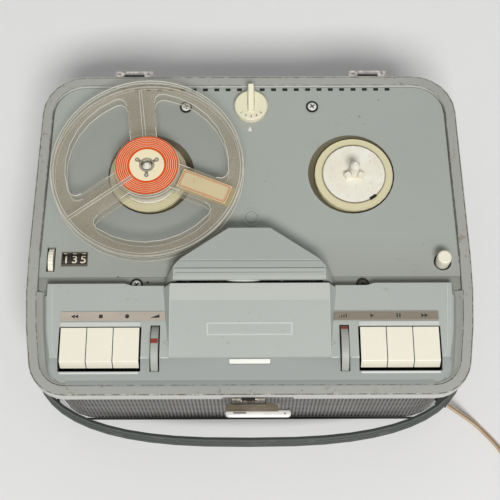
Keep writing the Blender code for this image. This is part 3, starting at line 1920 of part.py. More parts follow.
def motor():
    low = chassis_z + chassis_sheet + gap
    profile = (
        (motor_radius - motor_cap, low),
        (motor_radius, low + motor_cap),
        (motor_radius, low + motor_height - motor_cap),
        (motor_radius - motor_cap, low + motor_height),
        (motor_shaft_radius * 2, low + motor_height),
        (motor_shaft_radius * 2, low + motor_height - motor_cap),
        (motor_shaft_radius + running_gap, low + motor_height - motor_cap),
        (motor_shaft_radius + running_gap, low),
    )
    bm = bmesh.new()
    lathe(bm, (deck_shift, motor_y), profile, 20, closed=True)
    finish_mesh("motor_housing", bm, material("motor_grey", (0.22, 0.23, 0.25), 0.5, 0.6))
    middle = flywheel_z() + flywheel_thickness / 2
    start = middle - pulley_height / 2
    profile = (
        (pulley_radius + belt_thickness, start),
        (pulley_radius, start + belt_thickness),
        (pulley_radius, start + pulley_height - belt_thickness),
        (pulley_radius + belt_thickness, start + pulley_height),
        (motor_shaft_radius, start + pulley_height),
        (motor_shaft_radius, low + motor_height - motor_cap / 2),
    )
    bm = bmesh.new()
    lathe(bm, (deck_shift, motor_y), profile, 16)
    brass = material("brass", (0.70, 0.52, 0.20), 0.3, 1.0)
    finish_mesh("motor_pulley", bm, brass, (deck_shift, motor_y, start))


def belt_loop(grow, z):
    """The outline round both wheels: two arcs joined by the tangents."""
    small, large = Vector((deck_shift, motor_y)), Vector((capstan_x, capstan_y))
    radii = (pulley_radius + gap + grow, flywheel_radius + gap + grow)
    line = small - large
    heading = math.atan2(line.y, line.x)
    lean = math.acos((radii[1] - radii[0]) / line.length)
    points = []
    for centre, radius, start, end in (
        (small, radii[0], heading - lean, heading + lean),
        (large, radii[1], heading + lean, heading + 2 * math.pi - lean),
    ):
        for i in range(belt_steps + 1):
            angle = start + (end - start) * i / belt_steps
            points.append((centre.x + radius * math.cos(angle), centre.y + radius * math.sin(angle), z))
    return points


def drive_belt():
    middle = flywheel_z() + flywheel_thickness / 2
    low, high = middle - belt_width / 2, middle + belt_width / 2
    facet = flywheel_radius * (1 / math.cos(math.pi / belt_steps) - 1) * belt_facet_share
    bm = bmesh.new()
    ring(
        bm,
        [
            belt_loop(facet, low),
            belt_loop(facet, high),
            belt_loop(facet + belt_thickness, high),
            belt_loop(facet + belt_thickness, low),
        ],
    )
    return finish_mesh("drive_belt", bm, rubber())


def transformer():
    top = chassis_z - gap
    low = top - transformer_height
    half_w, half_l = transformer_width / 2, transformer_length / 2
    bm = bmesh.new()
    box(
        bm,
        (transformer_x - half_w, transformer_y - half_l / 2, low),
        (transformer_x + half_w, transformer_y + half_l / 2, top),
    )
    core = finish_mesh("transformer", bm, material("core_iron", (0.18, 0.17, 0.16), 0.6, 0.4))
    bm = bmesh.new()
    box(
        bm,
        (transformer_x - half_w + coil_bulge, transformer_y - half_l, low + coil_bulge),
        (transformer_x + half_w - coil_bulge, transformer_y + half_l, top - coil_bulge),
    )
    join(core, bm, "transformer_winding")
    return core


def circuit_board():
    half_w, half_l = board_width / 2, board_length / 2
    bm = bmesh.new()
    box(
        bm,
        (board_x - half_w, board_y - half_l, board_z),
        (board_x + half_w, board_y + half_l, board_z + board_sheet),
    )
    board = finish_mesh("circuit_board", bm, material("board_brown", (0.30, 0.20, 0.08), 0.6))
    bm = bmesh.new()
    base = foot_height + cover_sheet + gap
    for sx in (-1, 1):
        for sy in (-1, 1):
            place = (
                board_x + sx * (half_w - standoff_inset),
                board_y + sy * (half_l - standoff_inset),
            )
            cylinder(bm, place, standoff_radius, base, board_z + board_sheet / 2, 10)
    for share_x, share_y in valve_shares:
        centre = (board_x + share_x * board_width, board_y + share_y * board_length)
        low = board_z + board_sheet / 2
        shoulder = low + valve_height - valve_radius
        profile = ((valve_radius, low), (valve_radius, shoulder), (valve_tip_radius, low + valve_height))
        lathe(bm, centre, profile, 12)
    join(board, bm, "board_standoffs_and_valves")


# Handle, latch and hinges


def handle_path():
    """Half an oval of a high power, from the left eye round the front to the right eye."""
    stations = []
    for i in range(handle_steps + 1):
        angle = math.pi * (1 - i / handle_steps)
        c, s = math.cos(angle), math.sin(angle)
        power = 2 / handle_power
        x = handle_half * math.copysign(abs(c) ** power, c)
        y = handle_y - handle_reach * abs(s) ** power
        stations.append(Vector((x, y)))
    return stations


def handle_section():
    """(outwards, up) points: a narrow top, and an outer face that leans out with two grooves."""
    half, tall, top = handle_thickness / 2, handle_height / 2, handle_top
    face = Vector((half, -tall + top)) - Vector((-half + top, tall))
    start = Vector((-half + top, tall))
    dent = Vector((-face.y, face.x)).normalized() * -handle_groove
    points = [Vector((-half, tall)), start]
    for i, share in enumerate(handle_groove_shares):
        spot = start + face * share
        points.append(spot + (dent if i % 3 == 1 else Vector((0, 0))))
    points += [Vector((half, -tall + top)), Vector((half - top / 2, -tall)), Vector((-half + top / 2, -tall))]
    points.append(Vector((-half, -tall + top / 2)))
    return points


def handle():
    stations = handle_path()
    section = handle_section()
    loops = []
    last = len(stations) - 1
    for i, place in enumerate(stations):
        before, after = stations[max(i - 1, 0)], stations[min(i + 1, last)]
        heading = (after - before).normalized()
        outwards = Vector((heading.y, -heading.x))
        if i in (0, last):
            outwards = Vector((-1 if i == 0 else 1, 0))
        loops.append([(*(place + outwards * p.x), handle_z + p.y) for p in section])
    bm = bmesh.new()
    loft(bm, loops)
    look = material("handle_plastic", (0.06, 0.07, 0.065), 0.45)
    strap = finish_mesh("handle", bm, look, (0, handle_y, handle_z))
    for side, label in ((-1, "left"), (1, "right")):
        near, away = handle_half - handle_thickness / 2, handle_half + handle_thickness / 2
        x0, x1 = sorted((side * near, side * away))
        bm = bmesh.new()
        axle(bm, x0, x1, handle_y, handle_z, eye_radius, 20)
        join(strap, bm, f"handle_eye_{label}")
        bm = bmesh.new()
        axle(bm, x0 - overrun, x1 + overrun, handle_y, handle_z, stud_radius + running_gap, 16)
        cut(strap, bm, f"handle_bore_{label}")
    return strap


def latch_pin():
    """Where the latch lever turns, as (y, z)."""
    y = front_y - latch_reach + latch_plate
    return y, deck_z - latch_top_drop - latch_plate - gap - barrel_radius()


def barrel_radius():
    return pin_radius + running_gap + barrel_wall


def latch_bracket():
    top = deck_z - latch_top_drop
    back = front_y + grille_inset - gap
    front = front_y - latch_reach - latch_plate
    x0, x1 = latch_x - bracket_width / 2, latch_x + bracket_width / 2
    profile = (
        (back, top),
        (back, top - latch_bracket_height),
        (back - latch_plate, top - latch_bracket_height),
        (back - latch_plate, top - latch_plate),
        (front, top - latch_plate),
        (front, top),
    )
    bm = bmesh.new()
    along_x(bm, profile, x0, x1)
    bracket = finish_mesh("latch_bracket", bm, chrome())
    pin_y, pin_z = latch_pin()
    for label, x in (("left", x0), ("right", x1 - latch_plate)):
        bm = bmesh.new()
        far = (x + latch_plate, pin_y + pin_radius * 2, top - latch_plate / 2)
        box(bm, (x, front, pin_z - pin_radius * 2), far)
        join(bracket, bm, f"latch_ear_{label}")
    bm = bmesh.new()
    axle(bm, x0 + latch_plate / 2, x1 - latch_plate / 2, pin_y, pin_z, pin_radius, 10)
    join(bracket, bm, "latch_pin")
    bm = bmesh.new()
    half = latch_slot_width / 2
    middle = (front + front_y) / 2
    low, high = top - latch_plate - gap, top + overrun
    deep = latch_slot_length / 2
    box(bm, (latch_x - half, middle - deep, low), (latch_x + half, middle + deep, high))
    cut(bracket, bm, "latch_slot_cutter")
    return bracket


def latch_lever():
    """A plate that hangs from the pin, with a finger lip along its lower edge."""
    pin_y, pin_z = latch_pin()
    outer = barrel_radius()
    inner_span = bracket_width / 2 - latch_plate - gap
    bm = bmesh.new()
    axle(bm, latch_x - inner_span, latch_x + inner_span, pin_y, pin_z, outer, 12)
    lever = finish_mesh("latch_lever", bm, chrome(), (latch_x, pin_y, pin_z))
    low = pin_z - lever_height
    front, back = pin_y - outer, pin_y - outer + latch_plate
    shoulder = pin_z - pin_radius * 2 - latch_plate * 2
    x0, x1 = latch_x + lever_shift - lever_width / 2, latch_x + lever_shift + lever_width / 2
    neck = (latch_x - inner_span, latch_x + inner_span)
    profile = (
        (neck[0], pin_z),
        (neck[1], pin_z),
        (neck[1], shoulder),
        (x1, shoulder - latch_plate),
        (x1, low),
        (x0, low),
        (x0, shoulder - latch_plate),
        (neck[0], shoulder),
    )
    bm = bmesh.new()
    along_y(bm, profile, front, back)
    join(lever, bm, "lever_plate")
    bm = bmesh.new()
    half, middle = lip_width / 2, latch_x + lip_shift
    reach = back - lip_reach
    points = (
        (middle - half, back),
        (middle - half, reach + lip_corner),
        (middle - half + lip_corner, reach),
        (middle + half - lip_corner, reach),
        (middle + half, reach + lip_corner),
        (middle + half, back),
    )
    along_z(bm, points, low, low + latch_plate)
    join(lever, bm, "lever_lip")
    bm = bmesh.new()
    axle(bm, latch_x - bracket_width, latch_x + bracket_width, pin_y, pin_z, pin_radius + running_gap, 12)
    cut(lever, bm, "lever_bore")
    return lever


def rear_hinges():
    """The case's halves of the lift-off lid hinges."""
    top = deck_z + rim_rise / 2
    back = rear_y
    tub_face = back - tub_inset + gap
    low = top - hinge_height
    profile = (
        (back + gap, top),
        (back + hinge_reach, top),
        (back + hinge_reach, top - hinge_sheet),
        (back + gap + hinge_sheet, top - hinge_sheet),
        (back + gap + hinge_sheet, low),
        (tub_face, low),
        (tub_face, low + hinge_sheet),
        (back + gap, low + hinge_sheet),
    )
    for name, side in (("rear_hinge_left", -1), ("rear_hinge_right", 1)):
        x = deck_shift + side * hinge_x
        bm = bmesh.new()
        along_x(bm, profile, x - hinge_width / 2, x + hinge_width / 2)
        leaf = finish_mesh(name, bm, chrome())
        bm = bmesh.new()
        half = hinge_slot_width / 2
        start = back + gap + hinge_sheet + gap
        far = (x + half, start + hinge_slot_length, top + overrun)
        box(bm, (x - half, start, top - hinge_sheet - overrun), far)
        cut(leaf, bm, name + "_slot_cutter")


# Cord


def strain_relief():
    profile = (
        (-gland_depth, gland_tip_radius),
        (gap, gland_tip_radius),
        (gap, gland_flange_radius),
        (gap + gland_flange, gland_flange_radius),
        (gap + gland_flange, gland_radius),
        (gap + gland_length, gland_tip_radius),
    )
    bm = bmesh.new()
    lathe_x(bm, (0, 0), profile, 14)
    bmesh.ops.transform(bm, matrix=gland_place(), verts=bm.verts)
    return finish_mesh("strain_relief", bm, rubber())


def cord_route():
    """Out of the gland, down to the floor, off to the right and to the coil."""
    start = gland_length + 2 * gap
    out = [gland_place() @ Vector((start + lead, 0, 0)) for lead in (0, 2 * cord_radius)]
    fall = [Vector(place) for place in cord_fall_places]
    floor = [Vector((x, y, cord_radius + cord_lift)) for x, y in cord_floor_places]
    lead = Vector((2 * cord_radius, 0, 0))
    last = coil_point(0) - lead - Vector((gap, 0, 0))
    return [*out, *fall, *floor, last - lead, last]


def smooth(points, spacing):
    """Evenly spaced points on a smooth curve. Its first and last steps stay straight."""
    fine = []
    for p0, p1, p2, p3 in zip(points, points[1:], points[2:], points[3:]):
        for k in range(20):
            t = k / 20
            fine.append(
                0.5
                * (
                    2 * p1
                    + (p2 - p0) * t
                    + (2 * p0 - 5 * p1 + 4 * p2 - p3) * t**2
                    + (3 * p1 - p0 - 3 * p2 + p3) * t**3
                )
            )
    fine.append(points[-2])
    length = sum((b - a).length for a, b in zip(fine, fine[1:]))
    count = max(round(length / spacing), 2)
    made, walked, target = [fine[0]], 0.0, length / count
    for a, b in zip(fine, fine[1:]):
        step = (b - a).length
        while walked + step >= target and len(made) < count:
            made.append(a.lerp(b, (target - walked) / step))
            target += length / count
        walked += step
    return [points[0], *made, points[-2], points[-1]]


def tube(name, points, radius, resolution, look):
    data = bpy.data.curves.new(name, "CURVE")
    data.dimensions = "3D"
    data.bevel_depth = radius
    data.bevel_resolution = resolution
    data.use_fill_caps = True
    spline = data.splines.new("POLY")
    spline.points.add(len(points) - 1)
    for point, place in zip(spline.points, points):
        point.co = (*place, 1)
    obj = bpy.data.objects.new(name, data)
    bpy.context.scene.collection.objects.link(obj)
    obj.parent = ROOT
    data.materials.append(look)
    return obj


def coil_outer_radius():
    return coil_middle_radius + coil_pitch * coil_turns_in_layer / 2


def coil_start_y():
    return coil_y - coil_outer_radius()


def coil_point(turns):
    """A place on the winding: it spirals in and out, and climbs where it turns back."""
    layer = min(int(turns / coil_turns_in_layer), coil_layers - 1)
    within = turns - layer * coil_turns_in_layer
    inwards = within if layer % 2 == 0 else coil_turns_in_layer - within
    radius = coil_outer_radius() - coil_pitch * inwards
    height = 0.0
    for change in range(1, coil_layers):
        into = (turns - change * coil_turns_in_layer) * 2 + 0.5
        height += min(max(into, 0.0), 1.0)
    angle = -math.pi / 2 + 2 * math.pi * turns
    level = cord_radius + cord_lift + coil_pitch * height
    return Vector((coil_x + radius * math.cos(angle), coil_y + radius * math.sin(angle), level))


def coil_points():
    total = int(coil_layers * coil_turns_in_layer * coil_points_in_turn)
    return [coil_point(i / coil_points_in_turn) for i in range(total + 1)]


def least_gap(points, skip):
    """The least gap between stretches of the tube that are not neighbours along it."""
    least = math.inf
    for i, a in enumerate(points):
        for b, c in zip(points[i + skip :], points[i + skip + 1 :]):
            along = c - b
            share = max(0.0, min(1.0, (a - b).dot(along) / along.length_squared))
            least = min(least, (a - b - along * share).length)
    return least - 2 * cord_radius


def plug_end():
    """Where the cord enters the plug, beside the coil."""
    return Vector((coil_x + plug_lead, coil_start_y() + plug_swing / 2, plug_height / 2 + gap))


def cord_pieces():
    look = material("cord_tan", (0.50, 0.37, 0.25), 0.5)
    tube("cord_run", smooth(cord_route(), cord_spacing), cord_radius, 2, look)
    loops = coil_points()
    start = loops[0] - Vector((cord_radius * 2, 0, 0))
    end = plug_end()
    lead = Vector((cord_radius * 2, 0, 0))
    halfway = (loops[-1] + end) / 2 + lead / 2
    tail = smooth([loops[-1], loops[-1] + lead, halfway, end - lead, end], cord_spacing)
    spare = least_gap(loops, coil_points_in_turn // 2)
    print("least gap of the coil to itself (mm):", round(spare * 1000, 3))
    tube("cord_coil", [start] + loops + tail[1:], cord_radius, 1, look)


def cut_corners(width, tall, corner):
    """A rectangle's outline from its half sizes, with its four corners cut."""
    points = []
    for across, up in ((1, -1), (1, 1), (-1, 1), (-1, -1)):
        level = (across * (width - corner), up * tall)
        upright = (across * width, up * (tall - corner))
        points += [level, upright] if across * up < 0 else [upright, level]
    return points


def mains_plug():
    end = plug_end()
    start = end.x + gap
    half = plug_height / 2
    loops = []
    for x, width, tall in (
        (start, plug_neck_width / 2, half - plug_bevel),
        (start + plug_length * plug_shoulder_share, plug_width / 2, half),
        (start + plug_length - plug_bevel, plug_width / 2, half),
        (start + plug_length, plug_width / 2 - plug_bevel, half - plug_bevel),
    ):
        loops.append([(x, end.y + y, end.z + z) for y, z in cut_corners(width, tall, plug_bevel)])
    bm = bmesh.new()
    loft(bm, loops)
    plug = finish_mesh("mains_plug", bm, material("plug_tan", (0.42, 0.32, 0.22), 0.4))
    bm = bmesh.new()
    for side in (-1, 1):
        y = end.y + side * plug_pin_spacing / 2
        x0 = start + plug_length - plug_bevel * 2
        axle(bm, x0, start + plug_length + plug_pin_length, y, end.z, plug_pin_radius, 12)
    join(plug, bm, "plug_pins")


clear_scene()
ROOT = make_root()
rim_frame()
case_tub()
speaker_grille()
bottom_cover()
feet()
loudspeaker()
deck_plate()
control_panel()
level_indicator()
label_strips()
keys()
key_shaft()
thumbwheels()
counter_frame()
digit_drums()
reset_wheel()
push_button()
selector_knob()
turntables()
reel()
head_cover()
tape_heads()
head_plate()
pinch_arm()
pinch_roller()
chassis_plate()
flywheel()
motor()
drive_belt()
transformer()
circuit_board()
handle()
latch_bracket()
latch_lever()
rear_hinges()
strain_relief()
cord_pieces()
mains_plug()
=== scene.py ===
"""The looks of a portable tape recorder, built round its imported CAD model. Metres, +Z up, front -Y."""

import math

import bmesh
import bpy
from mathutils import Matrix, Vector
from mathutils.geometry import convex_hull_2d
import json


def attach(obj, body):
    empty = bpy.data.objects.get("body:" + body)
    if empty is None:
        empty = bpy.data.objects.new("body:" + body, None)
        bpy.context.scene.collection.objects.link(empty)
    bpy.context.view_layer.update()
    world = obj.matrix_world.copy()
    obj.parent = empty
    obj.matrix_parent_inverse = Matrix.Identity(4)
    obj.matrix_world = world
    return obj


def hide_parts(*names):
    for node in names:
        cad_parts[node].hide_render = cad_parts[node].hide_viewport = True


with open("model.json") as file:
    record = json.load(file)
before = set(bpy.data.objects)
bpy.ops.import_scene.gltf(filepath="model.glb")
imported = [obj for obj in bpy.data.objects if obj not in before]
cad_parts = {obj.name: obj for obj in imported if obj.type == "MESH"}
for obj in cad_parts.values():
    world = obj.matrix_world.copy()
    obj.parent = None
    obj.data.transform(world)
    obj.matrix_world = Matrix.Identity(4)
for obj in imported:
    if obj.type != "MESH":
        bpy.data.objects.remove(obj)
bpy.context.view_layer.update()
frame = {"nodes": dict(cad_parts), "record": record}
nodes = frame["nodes"]
looks = {}

# Places are (x, y) from the middle of the case, which lies SHIFT_Y behind the row frame's origin,
# and heights over the deck, which is DECK over the floor
SHIFT_Y = 0.0093
DECK = 0.111
RIM = 0.0020
PANEL = 0.0065
CREASE_Y = -0.1053
SLOPE = 0.3487
PLATE_FOOT = 0.0073
PLATE_SLOPE = 0.2008
SUPPLY = (-0.0800, 0.0451)
TAKEUP = (0.0832, 0.0451)
KNOB = (0.0016, 0.1040)
BUTTON = (0.1481, -0.0294)
HINGES = (-0.0949, 0.0981)
SPOKES = (98, 218, 338)
SPOKE_HALF = 0.0103
HUB_REACH = 0.0335
UPPER_FLANGE = 0.0175
LOWER_FLANGE = 0.0070
LABEL = 0.0184
WELD = 0.000005
FILM = 0.00006
LAYER = 0.00018
SIDES = ((-1, "left"), (1, "right"))


def place(x, y, up):
    """A point from the middle of the case and the height over the deck, in the row frame."""
    return Vector((x, y + SHIFT_Y, DECK + up))


def circle(radius, steps, centre=(0, 0), start=0.0):
    return arc(radius, [start + i * 2 * math.pi / steps for i in range(steps)], centre)


def arc(radius, angles, centre=(0, 0)):
    return [(centre[0] + radius * math.cos(a), centre[1] + radius * math.sin(a)) for a in angles]


def rolled(x, axle, reach, angle):
    """A point round a level axle at (y, height), turned from straight up towards the rear."""
    return place(x, axle[0] + reach * math.sin(angle), axle[1] + reach * math.cos(angle))


def axes(degrees):
    """The directions along and across an angle, seen from above."""
    angle = math.radians(degrees)
    return Vector((math.cos(angle), math.sin(angle))), Vector((-math.sin(angle), math.cos(angle)))


def swung(middle, degrees, plan):
    """An outline of (along, across) pairs, turned round a middle."""
    along, across = axes(degrees)
    return [Vector(middle) + along * a + across * b for a, b in plan]


def link(obj):
    bpy.context.scene.collection.objects.link(obj)
    return obj


class Shape:
    """A mesh in the making. Its methods add forms and can be called in a row."""

    def __init__(self):
        self.bm = bmesh.new()

    def loft(self, loops, caps=True, closed=False):
        rings = [[self.bm.verts.new(p) for p in loop] for loop in loops]
        pairs = list(zip(rings, rings[1:])) + ([(rings[-1], rings[0])] if closed else [])
        for low, high in pairs:
            for i in range(len(low)):
                j = (i + 1) % len(low)
                self.bm.faces.new((low[i], low[j], high[j], high[i]))
        if caps and not closed:
            self.bm.faces.new(rings[0])
            self.bm.faces.new(rings[-1])
        return self

    def prism(self, points, low, high):
        """An outline between two heights over the deck."""
        return self.loft([[place(x, y, up) for x, y in points] for up in (low, high)])

    def box(self, low, high):
        (x0, y0, z0), (x1, y1, z1) = low, high
        return self.prism([(x0, y0), (x1, y0), (x1, y1), (x0, y1)], z0, z1)

    def bar(self, profile, low, high):
        """A profile of (y, height) pairs between two x."""
        return self.loft([[place(x, y, up) for y, up in profile] for x in sorted((low, high))])

    def turned(self, centre, profile, steps, closed=False):
        """(radius, height) pairs turned about an upright line."""
        loops = [[place(x, y, up) for x, y in circle(radius, steps, centre)] for radius, up in profile]
        return self.loft(loops, closed=closed)

    def tube(self, points, radius, closed=False):
        """A thin round rod through points in the row frame."""
        loops = []
        count = len(points)
        for i, point in enumerate(points):
            before = points[i - 1] if closed else points[max(i - 1, 0)]
            after = points[(i + 1) % count] if closed else points[min(i + 1, count - 1)]
            along = (after - before).normalized()
            side = along.cross(Vector((0, 0, 1)))
            side = side.normalized() if side.length > 0.01 else Vector((1, 0, 0))
            up = side.cross(along)
            loops.append([point + side * radius * x + up * radius * y for x, y in circle(1, 6)])
        return self.loft(loops, closed=closed)

    def ring(self, centre, reach, up, radius, steps=72):
        return self.tube([place(x, y, up) for x, y in circle(reach, steps, centre)], radius, True)

    def take(self, other):
        """Takes in another bmesh."""
        data = bpy.data.meshes.new("digit")
        other.to_mesh(data)
        other.free()
        self.bm.from_mesh(data)
        bpy.data.meshes.remove(data)

    def made(self, name, look, body="case", soft=0, slot=None):
        """The finished piece in one look or several, smooth where it bends less than soft degrees."""
        bmesh.ops.recalc_face_normals(self.bm, faces=self.bm.faces)
        data = bpy.data.meshes.new(name)
        self.bm.to_mesh(data)
        self.bm.free()
        for each in [look] if isinstance(look, str) else look:
            data.materials.append(looks[each])
        if soft:
            data.shade_smooth()
            data.set_sharp_from_angle(angle=math.radians(soft))
        obj = link(bpy.data.objects.new(name, data))
        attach(obj, body)
        return obj


def level_edges(bm, up):
    """Each corner's neighbours along the edges at one height between a level face and a steep one."""
    near = {}
    for edge in bm.edges:
        if len(edge.link_faces) != 2 or any(abs(v.co.z - DECK - up) > 0.00002 for v in edge.verts):
            continue
        tilts = sorted(abs(face.normal.z) for face in edge.link_faces)
        if tilts[0] < 0.8 and tilts[1] > 0.95:
            a, b = edge.verts
            near.setdefault(a, []).append(b)
            near.setdefault(b, []).append(a)
    return near


def sharp_loops(node, up):
    """The closed loops of a node's edges at one height."""
    bm = bmesh.new()
    bm.from_mesh(node.data)
    bmesh.ops.remove_doubles(bm, verts=bm.verts, dist=WELD)
    near = level_edges(bm, up)
    loops = []
    while near:
        start = next(iter(near))
        loop, here = [start], start
        while near.get(here):
            there = near[here].pop()
            if here in near.get(there, []):
                near[there].remove(here)
            if not near[here]:
                near.pop(here)
            if there is start:
                break
            loop.append(there)
            here = there
        near = {vert: others for vert, others in near.items() if others}
        if len(loop) > 4:
            loops.append([vert.co.copy() for vert in loop])
    bm.free()
    return loops


def case_outline():
    """The rim's outer edge as ordered (x, y) points from the middle of the case."""
    points = [vert.co.xy for vert in nodes["rim_frame"].data.vertices]
    made = []
    for i in convex_hull_2d(points):
        point = points[i] - Vector((0, SHIFT_Y))
        if not made or (point - made[-1]).length > 0.0005:
            made.append(point)
    return made if (made[0] - made[-1]).length > 0.0005 else made[:-1]


def inset(points, distance):
    """An outline that runs anticlockwise, moved inwards."""
    made = []
    for i, point in enumerate(points):
        a = (point - points[i - 1]).normalized()
        b = (points[(i + 1) % len(points)] - point).normalized()
        inwards = Vector((-a.y - b.y, a.x + b.x)).normalized()
        made.append(point + inwards * distance / max(inwards.dot(Vector((-a.y, a.x))), 0.5))
    return made


def moulding(name, path, profile, look, keep=None):
    """A strip along the case's outline from (inset, height) pairs, or along the part that keep picks."""
    rows = [inset(path, depth) for depth, up in profile]
    stations = list(range(len(path)))
    if keep:
        kept = [i for i in stations if keep(path[i])]
        breaks = [k for k in range(len(kept)) if kept[k] - kept[k - 1] not in (1, 1 - len(path))]
        first = breaks[0] if breaks else 0
        stations = kept[first:] + kept[:first]
    sections = [[place(*row[i], up) for row, (depth, up) in zip(rows, profile)] for i in stations]
    Shape().loft(sections, closed=not keep).made(name, look, soft=50)


def lipped(start, width, low, rise):
    return [(start, low), (start, low + rise), (start + width, low + rise), (start + width, low)]


def letters(body, size, bold):
    """A mesh of plain text, its middle at the origin, in metres."""
    font = bpy.data.curves.new("letters", "FONT")
    font.body, font.size, font.offset = body, size, bold
    font.align_x, font.align_y = "CENTER", "CENTER"
    font.extrude = 0.00002
    font.resolution_u = 4
    holder = bpy.data.objects.new("letters", font)
    data = bpy.data.meshes.new_from_object(holder)
    bm = bmesh.new()
    bm.from_mesh(data)
    bpy.data.objects.remove(holder)
    bpy.data.curves.remove(font)
    bpy.data.meshes.remove(data)
    return bm


# Materials


def shade(color, factor):
    return tuple(c * factor for c in color)


class Look:
    """A short way to write a node material."""

    def __init__(self, name, rough=0.5, metal=0.0):
        self.name = name
        self.material = bpy.data.materials.new(name)
        self.material.use_nodes = True
        self.tree = self.material.node_tree
        self.inputs = self.tree.nodes["Principled BSDF"].inputs
        self.inputs["Roughness"].default_value = rough
        self.inputs["Metallic"].default_value = metal
        self.where = self.node("ShaderNodeTexCoord").outputs["Object"]

    def node(self, kind, **settings):
        made = self.tree.nodes.new(kind)
        for key, value in settings.items():
            setattr(made, key, value)
        return made

    def wire(self, a, b):
        self.tree.links.new(a, b)

    def scaled(self, scale):
        made = self.node("ShaderNodeMapping")
        self.wire(self.where, made.inputs["Vector"])
        made.inputs["Scale"].default_value = scale
        return made.outputs["Vector"]

    def noise(self, scale, detail=4.0, rough=0.55, vector=None):
        made = self.node("ShaderNodeTexNoise")
        self.wire(vector or self.where, made.inputs["Vector"])
        made.inputs["Scale"].default_value = scale
        made.inputs["Detail"].default_value = detail
        made.inputs["Roughness"].default_value = rough
        return made.outputs["Fac"]

    def ramp(self, value, *stops):
        made = self.node("ShaderNodeValToRGB")
        ramp = made.color_ramp
        while len(ramp.elements) < len(stops):
            ramp.elements.new(0.5)
        for element, (at, color) in zip(ramp.elements, stops):
            element.position = at
            element.color = (*color, 1)
        self.wire(value, made.inputs["Fac"])
        return made.outputs["Color"]

    def cloudy(self, value, dark, light):
        return self.ramp(value, (0.3, dark), (0.7, light))

    def mask(self, value, low, high):
        """0 below low and 1 above high."""
        return self.ramp(value, (low, (0, 0, 0)), (high, (1, 1, 1)))

    def mix(self, a, b, factor):
        made = self.node("ShaderNodeMix", data_type="RGBA")
        for name, value in (("Factor", factor), ("A", a), ("B", b)):
            if isinstance(value, tuple):
                made.inputs[name].default_value = (*value, 1)
            else:
                self.wire(value, made.inputs[name])
        return made.outputs["Result"]

    def math(self, kind, a, b=0.0):
        made = self.node("ShaderNodeMath", operation=kind)
        for socket, value in zip(made.inputs, (a, b)):
            if isinstance(value, (int, float)):
                socket.default_value = value
            else:
                self.wire(value, socket)
        return made.outputs[0]

    def plus(self, a, b):
        return self.math("ADD", a, b)

    def minus(self, a, b):
        return self.math("SUBTRACT", a, b)

    def times(self, a, b):
        return self.math("MULTIPLY", a, b)

    def below(self, a, b):
        return self.math("LESS_THAN", a, b)

    def above(self, a, b):
        return self.math("GREATER_THAN", a, b)

    def size(self, a):
        return self.math("ABSOLUTE", a)

    def part(self, vector, axis):
        found = self.node("ShaderNodeSeparateXYZ")
        self.wire(vector, found.inputs[0])
        return found.outputs[axis]

    def axis(self, name):
        return self.part(self.where, name)

    def facing(self, axis):
        """How far the surface faces along an axis, from -1 to 1."""
        return self.part(self.node("ShaderNodeTexCoord").outputs["Normal"], axis)

    def offset(self, centre):
        """The distances in x and y from an upright line, and the reach from it."""
        x = self.minus(self.axis("X"), centre[0])
        y = self.minus(self.axis("Y"), centre[1] + SHIFT_Y)
        return x, y, self.math("SQRT", self.plus(self.times(x, x), self.times(y, y)))

    def base(self):
        """The color so far."""
        return self.inputs["Base Color"].links[0].from_socket

    def color(self, value):
        self.wire(value, self.inputs["Base Color"])

    def rough(self, value, low, high):
        made = self.node("ShaderNodeMapRange")
        self.wire(value, made.inputs["Value"])
        made.inputs["To Min"].default_value = low
        made.inputs["To Max"].default_value = high
        self.wire(made.outputs["Result"], self.inputs["Roughness"])

    def bump(self, height, depth):
        made = self.node("ShaderNodeBump")
        made.inputs["Distance"].default_value = depth
        self.wire(height, made.inputs["Height"])
        self.wire(made.outputs["Normal"], self.inputs["Normal"])

    def see_through(self, amount):
        self.wire(amount, self.inputs["Alpha"])
        self.material.surface_render_method = "BLENDED"


